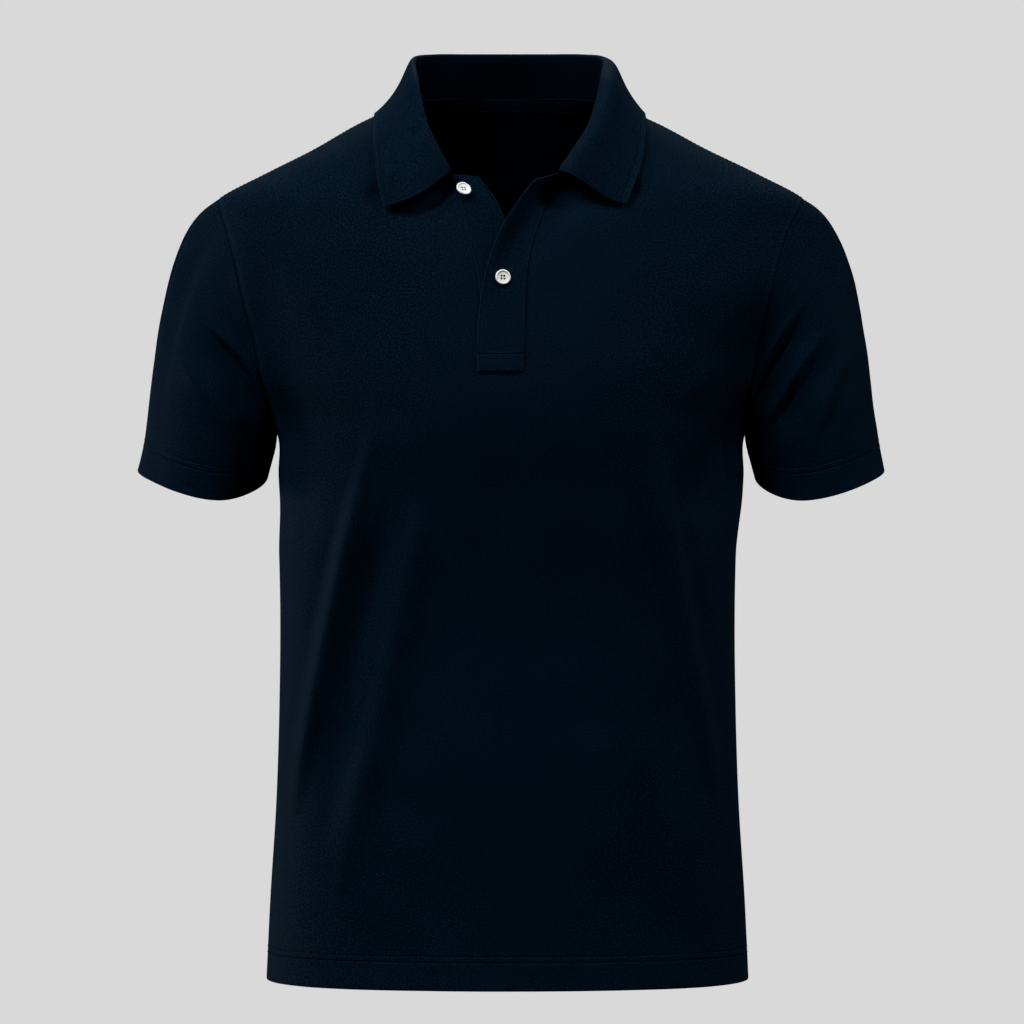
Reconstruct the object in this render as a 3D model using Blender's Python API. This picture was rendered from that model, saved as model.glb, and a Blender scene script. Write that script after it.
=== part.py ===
"""A men's short-sleeved pique polo shirt, filled out as when worn and open at the neck, cuffs and hem.

Metres. +X is the wearer's left, the front faces -Y and +Z is up. The origin lies midway between the two
high shoulder points, where the shoulder seams meet the collar. Every piece is a closed wall of cloth:
a grid of points on the garment's form, and the same grid moved in by the cloth's thickness.
"""
import math

import bmesh
import bpy
import numpy as np

# ---------------------------------------------------------------- sizes, in metres
CLOTH = 0.0014            # pique, one layer
HEM_CLOTH = 0.0022        # the turned hem, two layers
COLLAR_CLOTH = 0.0018     # flat-knit rib
PLACKET_CLOTH = 0.0016    # folded strip
TAPE_CLOTH = 0.0009
SEAM = 0.0003             # room between two pieces
ARMHOLE_SEAM = 0.0004

HEM_Z = -0.711
HEM_DEPTH = 0.025
UNDERARM_Z = -0.272
SLIT_Z = -0.2232          # bottom of the placket slit
SHOULDER_X = 0.2373       # shoulder point
SHOULDER_Z = -0.0813
NECK_X = 0.078            # high shoulder point, at height 0
BACK_NECK_Z = 0.0065
SWAY = 0.0030             # the shoulders and sleeves hang this far to the wearer's left
SWAY_START_X = 0.08
SWAY_FULL_X = 0.20
SWAY_START_Z = -0.37
SWAY_FULL_Z = -0.32

# The torso's cross-sections from hem to neck. Above the shoulder point the half width follows the
# shoulder ridge, so the sections close in on the shoulder seam.
FORM = [  # height, half width, front depth, back depth, squareness
    (-0.711, 0.1950, 0.114, 0.112, 2.30),
    (-0.648, 0.1920, 0.112, 0.109, 2.30),
    (-0.567, 0.1870, 0.109, 0.102, 2.30),
    (-0.486, 0.1845, 0.107, 0.095, 2.30),
    (-0.405, 0.1840, 0.109, 0.094, 2.30),
    (-0.344, 0.1858, 0.115, 0.101, 2.25),
    (-0.304, 0.1882, 0.119, 0.107, 2.20),
    (-0.272, 0.1890, 0.122, 0.111, 2.20),
    (-0.258, 0.1951, 0.1225, 0.112, 2.12),
    (-0.230, 0.2163, 0.1220, 0.1135, 2.00),
    (-0.198, 0.2327, 0.1200, 0.1145, 1.93),
    (-0.163, 0.2482, 0.1155, 0.1135, 1.90),
    (-0.134, 0.2510, 0.1100, 0.1110, 1.93),
    (-0.1075, 0.2475, 0.1020, 0.1060, 1.98),
    (-0.0813, 0.2373, 0.0925, 0.0975, 2.04),
    (-0.061, 0.2000, 0.0848, 0.0893, 2.06),
    (-0.0408, 0.1590, 0.0775, 0.0800, 2.08),
    (-0.0205, 0.1222, 0.0690, 0.0700, 2.05),
    (0.000, 0.0780, 0.0590, 0.0590, 2.00),
    (0.009, 0.0630, 0.0540, 0.0550, 2.00),
    (0.020, 0.0480, 0.0500, 0.0500, 2.00),
]
ARMHOLE = [  # height, distance of the armhole seam from the middle on the wearer's right and left
    (-0.272, 0.1890, 0.1890),
    (-0.258, 0.1920, 0.1910),
    (-0.230, 0.2006, 0.1966),
    (-0.198, 0.2066, 0.2010),
    (-0.163, 0.2148, 0.2070),
    (-0.134, 0.2212, 0.2137),
    (-0.1075, 0.2288, 0.2226),
    (-0.0813, 0.2373, 0.2373),
]
SLIT = [  # height, left edge and right edge of the placket slit, which spreads towards the neck
    (-0.2232, -0.0212, 0.0117),
    (-0.180, -0.0213, 0.0131),
    (-0.155, -0.0228, 0.0138),
    (-0.136, -0.0265, 0.0160),
    (-0.120, -0.0308, 0.0195),
    (-0.105, -0.0347, 0.0245),
    (-0.088, -0.0392, 0.0305),
    (-0.069, -0.0432, 0.0395),
]
UPPER_FREE_EDGE = [  # height, place of the upper placket's free edge
    (-0.2240, -0.0228),
    (-0.2077, -0.0238),
    (-0.1779, -0.0223),
    (-0.1509, -0.0184),
    (-0.1200, -0.0090),
    (-0.0984, 0.0020),
    (-0.0793, 0.0155),
    (-0.0700, 0.0232),
]
UNDER_FREE_EDGE = [  # height, place of the under placket's free edge
    (-0.2228, 0.0100),
    (-0.1600, 0.0100),
    (-0.1300, 0.0060),
    (-0.1007, -0.0027),
    (-0.0872, -0.0091),
    (-0.0780, -0.0155),
    (-0.0690, -0.0225),
]
FRONT_NECKLINE = [  # distance from the middle, height: high shoulder point to placket
    (0.0780, 0.000),
    (0.0765, -0.012),
    (0.0725, -0.026),
    (0.0650, -0.041),
    (0.0545, -0.055),
    (0.0432, -0.069),
]

# The collar, from its front end round to the middle of the back. Each section gives the fold at the
# top of the stand, the outer edge of the fall, how far the fall bulges and sags between the two, and
# the lean of the section to the wearer's left.
COLLAR = [  # station, fold x, fold y, fold z, edge x, edge y, edge z, bulge, sag, lean
    (0.0, 0.0430, -0.0885, -0.0660, 0.0963, -0.0965, -0.0915, 0.0030, 0.0060, -0.0022),
    (1.0, 0.0542, -0.0845, -0.0485, 0.1020, -0.0890, -0.0737, 0.0040, 0.0030, -0.0010),
    (2.0, 0.0655, -0.0757, -0.0280, 0.1057, -0.0790, -0.0575, 0.0035, 0.0010, 0.0004),
    (3.0, 0.0717, -0.0610, -0.0064, 0.1087, -0.0610, -0.0355, 0.0010, 0.0, 0.0012),
    (4.0, 0.0752, -0.0440, 0.0130, 0.1095, -0.0330, -0.0165, -0.0020, 0.0, 0.0015),
    (5.0, 0.0770, -0.0020, 0.0310, 0.1070, 0.0050, -0.0110, -0.0036, 0.0, 0.0012),
    (6.0, 0.0610, 0.0320, 0.0372, 0.0870, 0.0530, -0.0100, -0.0020, 0.0, 0.0008),
    (7.0, 0.0320, 0.0465, 0.0388, 0.0450, 0.0690, -0.0110, 0.0005, 0.0, 0.0003),
    (8.0, 0.0000, 0.0505, 0.0392, 0.0000, 0.0740, -0.0110, 0.0015, 0.0, 0.0),
]
HIGH_SHOULDER_STATION = 5.0
BACK_STATION = 8.0
FOLD_RADIUS = 0.0028
FRONT_FOLD_RADIUS = 0.0023
COLLAR_END_GAP = 0.0013   # from the collar's front end to the placket's top corner

CUFF_CENTRE = (0.2507, 0.006, -0.305)
CUFF_HALF_WIDTH = 0.0537
CUFF_HALF_DEPTH = 0.051
CUFF_OUTSIDE_RISE = 0.0035
CUFF_FRONT_DROP = 0.0182
CUFF_SKEW = 0.0040        # the front of the hem is lowest towards the body
SLEEVE_LEAVE = 0.25       # length of the handle at the armhole, as a share of the way to the cuff
SLEEVE_ARRIVE = 0.36

BUTTON_RADIUS = 0.0061
BUTTON_THICKNESS = 0.0026
BUTTON_RIM = 0.0012
BUTTON_DISH = 0.0006
BUTTON_HOLE_RADIUS = 0.0008
BUTTON_HOLE_CIRCLE = 0.0016
TOP_BUTTON = (-0.0335, -0.0783)
SECOND_BUTTON = (-0.0035, -0.1497)

# Large drape folds, seen from the front (or through the body for the back): a curve through a start,
# a pull and an end point, then half width and height, negative for a trough.
FRONT_FOLDS = [  # x0, z0, x1, z1, x2, z2, half width, height
    (-0.112, -0.268, -0.138, -0.380, -0.181, -0.575, 0.016, 0.0050),
    (-0.090, -0.300, -0.108, -0.400, -0.140, -0.560, 0.020, -0.0040),
    (0.108, -0.290, 0.146, -0.420, 0.184, -0.590, 0.016, 0.0045),
    (0.088, -0.300, 0.118, -0.420, 0.150, -0.560, 0.022, -0.0035),
    (-0.080, -0.360, -0.112, -0.470, -0.130, -0.600, 0.020, 0.0030),
    (0.150, -0.200, 0.160, -0.260, 0.130, -0.330, 0.020, -0.0030),
]
BACK_FOLDS = [
    (-0.128, -0.255, -0.135, -0.390, -0.172, -0.560, 0.018, 0.0045),
    (-0.100, -0.290, -0.105, -0.400, -0.135, -0.540, 0.020, -0.0035),
    (0.124, -0.265, 0.138, -0.400, 0.170, -0.575, 0.018, 0.0045),
    (0.095, -0.300, 0.108, -0.410, 0.140, -0.550, 0.022, -0.0035),
    (-0.060, -0.470, 0.010, -0.500, 0.075, -0.480, 0.020, -0.0030),
]
RIGHT_SLEEVE_FOLDS = [
    (-0.262, -0.185, -0.228, -0.215, -0.196, -0.268, 0.012, -0.0050),
    (-0.272, -0.205, -0.236, -0.240, -0.200, -0.290, 0.012, 0.0035),
]
LEFT_SLEEVE_FOLDS = [
    (0.258, -0.168, 0.226, -0.205, 0.196, -0.262, 0.012, -0.0050),
    (0.276, -0.196, 0.240, -0.235, 0.204, -0.280, 0.012, 0.0040),
    (0.266, -0.222, 0.238, -0.262, 0.212, -0.290, 0.011, -0.0035),
]
FOLD_STEPS = 24

# How finely the walls are divided
SIDE_COLUMNS = 8          # from the armhole to the high shoulder point
NECK_COLUMNS = 7          # from there to the slit, or to the middle of the back
SLIT_COLUMNS = 3
TORSO_ROWS = 13
UNDERARM_ROWS = 4
UPPER_ROWS = 13
SLEEVE_RINGS = 10
PLACKET_ROWS = 14
PLACKET_COLUMNS = 4
TAPE_ROWS = 3

COLOURS = {  # base colour, roughness
    "pique": ((0.004, 0.010, 0.022), 0.85),
    "collar knit": ((0.004, 0.010, 0.022), 0.80),
    "tape": ((0.003, 0.007, 0.016), 0.80),
    "button": ((0.780, 0.770, 0.740), 0.30),
}


# ---------------------------------------------------------------- reading the tables
def smooth(at, keys, values):
    """Read a table column at any place, along a smooth curve through its rows."""
    keys = np.asarray(keys, float)
    values = np.asarray(values, float)
    slopes = np.gradient(values, keys)
    at = np.clip(at, keys[0], keys[-1])
    row = np.clip(np.searchsorted(keys, at) - 1, 0, len(keys) - 2)
    step = keys[row + 1] - keys[row]
    t = (at - keys[row]) / step
    rise = values[row + 1] - values[row]
    bend_in = slopes[row] * step - rise
    bend_out = rise - slopes[row + 1] * step
    return values[row] + t * rise + t * (1 - t) * ((1 - t) * bend_in + t * bend_out)


def column(table, index):
    """One column of a table, read against its first column."""
    columns = np.array(table, float).T
    return lambda at: smooth(at, columns[0], columns[index])


half_width = column(FORM, 1)
front_depth = column(FORM, 2)
back_depth = column(FORM, 3)
squareness = column(FORM, 4)
armhole_right = column(ARMHOLE, 1)
armhole_left = column(ARMHOLE, 2)
slit_left = column(SLIT, 1)
slit_right = column(SLIT, 2)

RIDGE_HEIGHTS = np.linspace(SHOULDER_Z, FORM[-1][0], 200)


def ridge_z(x):
    """Height of the shoulder ridge at a distance from the middle."""
    return np.interp(-np.abs(x), -half_width(RIDGE_HEIGHTS), RIDGE_HEIGHTS)


# ---------------------------------------------------------------- the form
def form_y(x, z, side):
    """Depth of the form at (x, z): side is -1 for the front and 1 for the back."""
    depth = front_depth(z) if side < 0 else back_depth(z)
    power = squareness(z)
    across = np.clip(np.abs(x) / half_width(z), 0, 1)
    return side * depth * (1 - across**power) ** (1 / power)


def form_normal(x, z, side):
    """Direction that points straight out of the form, level with the ground."""
    depth = front_depth(z) if side < 0 else back_depth(z)
    power = squareness(z)
    width = half_width(z)
    y = form_y(x, z, side)
    nx = np.sign(x) * np.abs(x / width) ** (power - 1) / width
    ny = side * np.abs(y / depth) ** (power - 1) / depth
    length = np.hypot(nx, ny)
    return np.stack([nx / length, ny / length, np.zeros_like(nx)], -1)


def fold_lift(x, z, folds):
    """How far the folds raise or sink the cloth at places (x, z)."""
    lift = np.zeros(np.shape(x))
    t = np.linspace(0, 1, FOLD_STEPS)
    for x0, z0, x1, z1, x2, z2, half, height in folds:
        line_x = (1 - t) ** 2 * x0 + 2 * t * (1 - t) * x1 + t**2 * x2
        line_z = (1 - t) ** 2 * z0 + 2 * t * (1 - t) * z1 + t**2 * z2
        away = np.hypot(x[..., None] - line_x, z[..., None] - line_z)
        along = t[away.argmin(-1)]
        lift += height * np.sin(np.pi * along) ** 0.6 * np.exp(-((away.min(-1) / half) ** 2))
    return lift


def body_points(x, z, side, folds):
    """Points of the cloth's outer face, with the folds, and half a seam clear of the other side."""
    points = np.stack([x, form_y(x, z, side), z], -1)
    at_seam = np.clip(1 - np.abs(x) / half_width(z), 0, 1)
    fade = np.clip(at_seam / 0.03, 0, 1)
    points += form_normal(x, z, side) * (fold_lift(x, z, folds) * fade)[..., None]
    points[..., 1] += side * SEAM / 2
    return points


# ---------------------------------------------------------------- meshes
def unit(vectors):
    return vectors / np.linalg.norm(vectors, axis=-1, keepdims=True)


def grid_normals(points, round_tube=False):
    """Outward directions of a grid whose columns run to the right and rows run up, seen from outside."""
    if round_tube:
        across = np.roll(points, -1, 1) - np.roll(points, 1, 1)
    else:
        across = np.gradient(points, axis=1)
    return unit(np.cross(across, np.gradient(points, axis=0)))


def material(finish):
    made = bpy.data.materials.get(finish)
    if made is None:
        made = bpy.data.materials.new(finish)
        made.use_nodes = True
        colour, roughness = COLOURS[finish]
        shader = made.node_tree.nodes["Principled BSDF"]
        shader.inputs["Base Color"].default_value = (*colour, 1)
        shader.inputs["Roughness"].default_value = roughness
    return made


def add_object(name, mesh, finish):
    mesh.materials.append(material(finish))
    mesh.shade_smooth()
    mesh.set_sharp_from_angle(angle=math.radians(50))
    made = bpy.data.objects.new(name, mesh)
    bpy.context.collection.objects.link(made)
    return made


def swayed(points):
    """The points, with the shoulders and sleeves moved a little to the wearer's left."""
    share_x = np.clip((np.abs(points[..., 0]) - SWAY_START_X) / (SWAY_FULL_X - SWAY_START_X), 0, 1)
    share_z = np.clip((points[..., 2] - SWAY_START_Z) / (SWAY_FULL_Z - SWAY_START_Z), 0, 1)
    ease_x = share_x**2 * (3 - 2 * share_x)
    ease_z = share_z**2 * (3 - 2 * share_z)
    moved = points.copy()
    moved[..., 0] += SWAY * ease_x * ease_z
    return moved


def add_wall(name, outer, thickness, finish, round_tube=False, kept=None, normals=None):
    """A closed wall: the outer grid, the same grid moved in, and a rim along every free edge."""
    rows, columns = outer.shape[:2]
    normals = grid_normals(outer, round_tube) if normals is None else normals
    inner = outer - normals * thickness
    number = np.arange(rows * columns).reshape(rows, columns)
    last = columns if round_tube else columns - 1
    quads = []
    for r in range(rows - 1):
        for c in range(last):
            if kept is None or kept[r, c]:
                nxt = (c + 1) % columns
                quads.append((number[r, c], number[r, nxt], number[r + 1, nxt], number[r + 1, c]))
    edges = {(q[i], q[(i + 1) % 4]) for q in quads for i in range(4)}
    shift = rows * columns
    faces = list(quads)
    faces += [tuple(q[i] + shift for i in (0, 3, 2, 1)) for q in quads]
    faces += [(b, a, a + shift, b + shift) for a, b in sorted(edges) if (b, a) not in edges]
    mesh = bpy.data.meshes.new(name)
    mesh.from_pydata(swayed(np.concatenate([outer, inner])).reshape(-1, 3).tolist(), [],
                     [[int(i) for i in face] for face in faces])
    cleaner = bmesh.new()
    cleaner.from_mesh(mesh)
    loose = [v for v in cleaner.verts if not v.link_faces]
    bmesh.ops.delete(cleaner, geom=loose, context="VERTS")
    cleaner.to_mesh(mesh)
    cleaner.free()
    return add_object(name, mesh, finish)


# ---------------------------------------------------------------- front and back panels
def body_levels():
    """Heights of the level rows: hem, torso and the turn of the underarm."""
    torso = np.linspace(HEM_Z + HEM_DEPTH, UNDERARM_Z, TORSO_ROWS)
    turn = (np.arange(1, UNDERARM_ROWS + 1) / UNDERARM_ROWS) ** 2
    return np.concatenate([[HEM_Z], torso, UNDERARM_Z + (SLIT_Z - UNDERARM_Z) * turn])


def neckline_shares(crowded):
    """Shares of the neckline at its columns, crowded towards the high shoulder point in front."""
    return np.linspace(0, 1, NECK_COLUMNS + 1) ** (1.4 if crowded else 1.0)


def top_edge(neckline, crowded):
    """The panel's top edge from the shoulder point to the end of the neckline, as x and z."""
    shoulder = np.linspace(0, 1, SIDE_COLUMNS + 1) ** 1.2
    shoulder_x = SHOULDER_X + (NECK_X - SHOULDER_X) * shoulder
    shoulder_z = ridge_z(shoulder_x)
    shoulder_z[-1] = 0.0
    rows = np.array(neckline)
    count = np.arange(len(neckline))
    station = count[-1] * neckline_shares(crowded)[1:]
    neck_x = smooth(station, count, rows[:, 0])
    neck_z = smooth(station, count, rows[:, 1])
    return np.concatenate([shoulder_x, neck_x]), np.concatenate([shoulder_z, neck_z])


def half_panel(neckline, crowded, armhole_x, inner_x):
    """x and z of one half, seen with x positive: columns run from the side seam to the inner edge."""
    share = np.linspace(0, 1, SIDE_COLUMNS + NECK_COLUMNS + 1)
    spread = 1 - np.cos(share * np.pi / 2)
    levels = body_levels()[:, None]
    outer_x = np.where(levels > UNDERARM_Z, armhole_x(levels), half_width(levels))
    low_x = outer_x + (inner_x(levels) - outer_x) * spread
    low_z = levels + 0 * share
    top_x, top_z = top_edge(neckline, crowded)
    rise = 1 - (1 - np.arange(1, UPPER_ROWS + 1)[:, None] / UPPER_ROWS) ** 2
    high_z = SLIT_Z + (top_z - SLIT_Z) * rise
    high_x = low_x[-1] + (top_x - low_x[-1]) * rise
    outer_bow = armhole_x(high_z[:, :1]) - high_x[:, :1]
    inner_bow = inner_x(high_z[:, -1:]) - high_x[:, -1:]
    high_x += outer_bow * (1 - share) ** 2 + inner_bow * share**2
    return np.concatenate([low_x, high_x]), np.concatenate([low_z, high_z])


def seam_normals(points):
    """Normals of a panel, kept level with the seam plane along the side and shoulder seams."""
    normals = grid_normals(points)
    underarm_row = 1 + TORSO_ROWS
    for edge in (0, -1):
        normals[:underarm_row, edge, 1] = 0
    shoulder = list(range(SIDE_COLUMNS + 1))
    columns = points.shape[1]
    for c in shoulder + [columns - 1 - c for c in shoulder]:
        normals[-1, c, 1] = 0
    return unit(normals)


def wall_thickness(rows):
    thickness = np.full((rows, 1, 1), CLOTH)
    thickness[:2] = HEM_CLOTH
    return thickness


def add_front():
    ends = SLIT[-1]
    rows = np.array(FRONT_NECKLINE)
    halves = []
    sides = ((-1, ends[1], slit_left, armhole_right), (1, ends[2], slit_right, armhole_left))
    for side, edge_x, edge, armhole_x in sides:
        reach = (NECK_X - abs(edge_x)) / (NECK_X - rows[-1, 0])
        neckline = np.stack([NECK_X - (NECK_X - rows[:, 0]) * reach, rows[:, 1]], -1)
        halves.append(half_panel(neckline, True, armhole_x, lambda z, edge=edge, side=side: side * edge(z)))
    (left_x, left_z), (right_x, right_z) = halves
    share = np.linspace(0, 1, SLIT_COLUMNS + 1)[1:-1]
    middle_x = -left_x[:, -1:] + (right_x[:, -1:] + left_x[:, -1:]) * share
    middle_z = left_z[:, -1:] + (right_z[:, -1:] - left_z[:, -1:]) * share
    x = np.concatenate([-left_x, middle_x, right_x[:, ::-1]], 1)
    z = np.concatenate([left_z, middle_z, right_z[:, ::-1]], 1)
    points = body_points(x, z, -1, FRONT_FOLDS)
    level_rows = len(body_levels())
    half = left_x.shape[1]
    kept = np.ones((x.shape[0] - 1, x.shape[1] - 1), bool)
    kept[level_rows - 1:, half - 1:half - 1 + SLIT_COLUMNS] = False
    normals = seam_normals(points)
    for r in range(level_rows - 1, x.shape[0]):
        for c, neighbour in ((half - 1, half - 2), (half - 1 + SLIT_COLUMNS, half + SLIT_COLUMNS)):
            normals[r, c] = normals[r, neighbour]
    add_wall("front", points, wall_thickness(x.shape[0]), "pique", kept=kept, normals=normals)
    return points


def add_back():
    share = np.linspace(0, 1, NECK_COLUMNS + 1)
    neck_x = NECK_X * np.cos(share * np.pi / 2)
    neckline = np.stack([neck_x, BACK_NECK_Z * (1 - (neck_x / NECK_X) ** 4)], -1)
    left_x, left_z = half_panel(neckline, False, armhole_left, lambda z: 0 * z)
    right_x, right_z = half_panel(neckline, False, armhole_right, lambda z: 0 * z)
    x = np.concatenate([left_x, -right_x[:, -2::-1]], 1)
    z = np.concatenate([left_z, right_z[:, -2::-1]], 1)
    points = body_points(x, z, 1, BACK_FOLDS)
    normals = seam_normals(points)
    add_wall("back", points, wall_thickness(x.shape[0]), "pique", normals=normals)
    return points, normals


# ---------------------------------------------------------------- sleeves
def add_sleeve(name, sign, front, back, folds):
    """A tube from the armhole's seam to the cuff: sign is 1 on the wearer's left."""
    armhole = slice(TORSO_ROWS, None)
    front_edge = front[armhole, -1 if sign > 0 else 0]
    front_next = front[armhole, -2 if sign > 0 else 1]
    back_edge = back[armhole, 0 if sign > 0 else -1]
    back_next = back[armhole, 1 if sign > 0 else -2]
    loop = np.concatenate([front_edge, back_edge[-2:0:-1]])
    leave = np.concatenate([front_edge - front_next, (back_edge - back_next)[-2:0:-1]])
    loop[[0, len(front_edge) - 1], 1] = 0
    leave[len(front_edge) - 1] = (sign * 0.89, 0, -0.46)
    height = ((loop[:, 2] - UNDERARM_Z) / (SHOULDER_Z - UNDERARM_Z))[:, None]
    down = np.array([-sign * 0.02, 0, -1.0])
    leave = unit(unit(leave) * height**0.8 + down * (1 - height**0.8))
    start = loop + ARMHOLE_SEAM * np.array([sign * 0.97, 0, -0.24])
    step = np.linalg.norm(np.roll(loop, -1, 0) - loop, axis=1)
    turn = 2 * np.pi * np.concatenate([[0], np.cumsum(step)[:-1]]) / step.sum()
    centre = np.array(CUFF_CENTRE) * (sign, 1, 1)
    end = centre + np.stack([
        -sign * CUFF_HALF_WIDTH * np.cos(turn),
        -CUFF_HALF_DEPTH * np.sin(turn),
        -CUFF_OUTSIDE_RISE * np.cos(turn) - CUFF_FRONT_DROP * np.sin(turn) - CUFF_SKEW * np.sin(2 * turn),
    ], -1)
    reach = np.linalg.norm(end - start, axis=1, keepdims=True)
    arrive = unit(np.array([sign * 0.24, 0.03, -1.0]))
    t = np.linspace(0, 1, SLEEVE_RINGS)[:, None, None]
    points = ((1 - t) ** 3 * start + 3 * t * (1 - t) ** 2 * (start + leave * reach * SLEEVE_LEAVE)
              + 3 * t**2 * (1 - t) * (end - arrive * reach * SLEEVE_ARRIVE) + t**3 * end)
    if sign > 0:
        points = points[:, ::-1]
        turn = turn[::-1]
    normals = grid_normals(points, round_tube=True)
    facing = np.clip(np.sin(turn), 0, 1)
    lift = fold_lift(points[..., 0], points[..., 2], folds) * facing
    lift[:2] = 0
    points = points + normals * lift[..., None]
    thickness = np.full((SLEEVE_RINGS, 1, 1), CLOTH)
    thickness[-2:] = HEM_CLOTH
    add_wall(name, points, thickness, "pique", round_tube=True)


# ---------------------------------------------------------------- collar, plackets and tape
def add_collar(front, back):
    """One folded piece: from the neck seam up the stand, over the fold and down the fall."""
    left_neck = front[-1, SIDE_COLUMNS:SIDE_COLUMNS + NECK_COLUMNS + 1][::-1]
    right_neck = front[-1, -1 - SIDE_COLUMNS - NECK_COLUMNS:-SIDE_COLUMNS or None][::-1]
    back_neck = back[-1, SIDE_COLUMNS:-SIDE_COLUMNS][::-1]
    neck = np.concatenate([left_neck, back_neck[1:-1], right_neck])
    neck[[NECK_COLUMNS, -1 - NECK_COLUMNS], 1] = 0
    front_stations = HIGH_SHOULDER_STATION * (1 - neckline_shares(True)[::-1])
    back_stations = np.linspace(HIGH_SHOULDER_STATION, BACK_STATION, NECK_COLUMNS + 1)
    half = np.concatenate([front_stations, back_stations[1:]])
    station = np.concatenate([half, half[-2::-1]])
    sign = np.sign(neck[:, 0])
    fold_x, fold_y, fold_z, edge_x, edge_y, edge_z, bulge, sag, lean = (
        column(COLLAR, i)(station) for i in range(1, 10))
    fold = np.stack([sign * fold_x + lean, fold_y, fold_z], -1)
    edge = np.stack([sign * edge_x + lean, edge_y, edge_z], -1)
    up = np.array([0, 0, 1.0])
    along = np.gradient(neck, axis=0)
    outward = unit(np.cross(along, up) * (-1, -1, 0))
    tangent = unit(np.gradient(fold, axis=0))
    over = unit(outward + unit((edge - fold) * (1, 1, 0)))
    over = unit(over - (over * tangent).sum(-1, keepdims=True) * tangent)
    crest = np.cross(tangent, over)
    for end, inward in ((0, along[0]), (-1, -along[-1])):
        for line in (neck, fold, edge):
            line[end] += COLLAR_END_GAP * unit(inward)
    radius = np.minimum(FOLD_RADIUS, FRONT_FOLD_RADIUS + (FOLD_RADIUS - FRONT_FOLD_RADIUS) * station / 2)
    radius = radius[:, None]
    stand_foot = neck + SEAM * unit(fold - neck) - outward * COLLAR_CLOTH
    stand_top = fold - over * radius - crest * 0.0005
    profile = [stand_foot, stand_foot * 0.5 + stand_top * 0.5]
    for angle in np.linspace(math.pi, 0, 5):
        profile.append(fold + radius * (math.cos(angle) * over + math.sin(angle) * crest))
    lip = profile[-1]
    fall_normal = unit(np.cross(along, edge - lip))
    for share in (0.3, 0.65, 1.0):
        bow = 4 * share * (1 - share) * bulge[:, None]
        drop = 4 * share * (1 - share) * sag[:, None]
        profile.append(lip + (edge - lip) * share + fall_normal * bow - up * drop)
    points = np.array(profile)
    normals = grid_normals(points)
    normals[0] = -outward
    add_wall("collar", points, COLLAR_CLOTH, "collar knit", normals=normals)


def placket_grid(left_edge, right_edge, low, top_left, top_right):
    """x and z of a placket strip, with a sloping top edge."""
    share = np.linspace(0, 1, PLACKET_COLUMNS + 1)
    rise = np.linspace(0, 1, PLACKET_ROWS + 1)[:, None]
    z = low + (top_left + (top_right - top_left) * share - low) * rise
    x = left_edge(z) + (right_edge(z) - left_edge(z)) * share
    return x, z


def add_plackets():
    under_edge = column(UNDER_FREE_EDGE, 1)
    upper_edge = column(UPPER_FREE_EDGE, 1)
    x, z = placket_grid(lambda z: slit_left(z) + SEAM, under_edge, SLIT_Z + SEAM, -0.0668, -0.0685)
    points = np.stack([x, form_y(x, z, -1) - SEAM / 2, z], -1)
    add_wall("placket_under", points, PLACKET_CLOTH, "pique")
    lap = 0.0008
    x, z = placket_grid(upper_edge, lambda z: slit_right(z) + lap, SLIT_Z - lap, -0.0705, -0.0668)
    raised = SEAM + PLACKET_CLOTH + SEAM
    points = np.stack([x, form_y(x, z, -1) - raised, z], -1)
    add_wall("placket_upper", points, PLACKET_CLOTH, "pique")


def add_neck_tape(back, back_normals):
    inset = SIDE_COLUMNS + 1
    rows = slice(-1 - TAPE_ROWS, None)
    cloth = back[rows, inset:-inset]
    outward = back_normals[rows, inset:-inset]
    add_wall("neck_tape", cloth - outward * (CLOTH + SEAM), TAPE_CLOTH, "tape", normals=outward)


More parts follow.
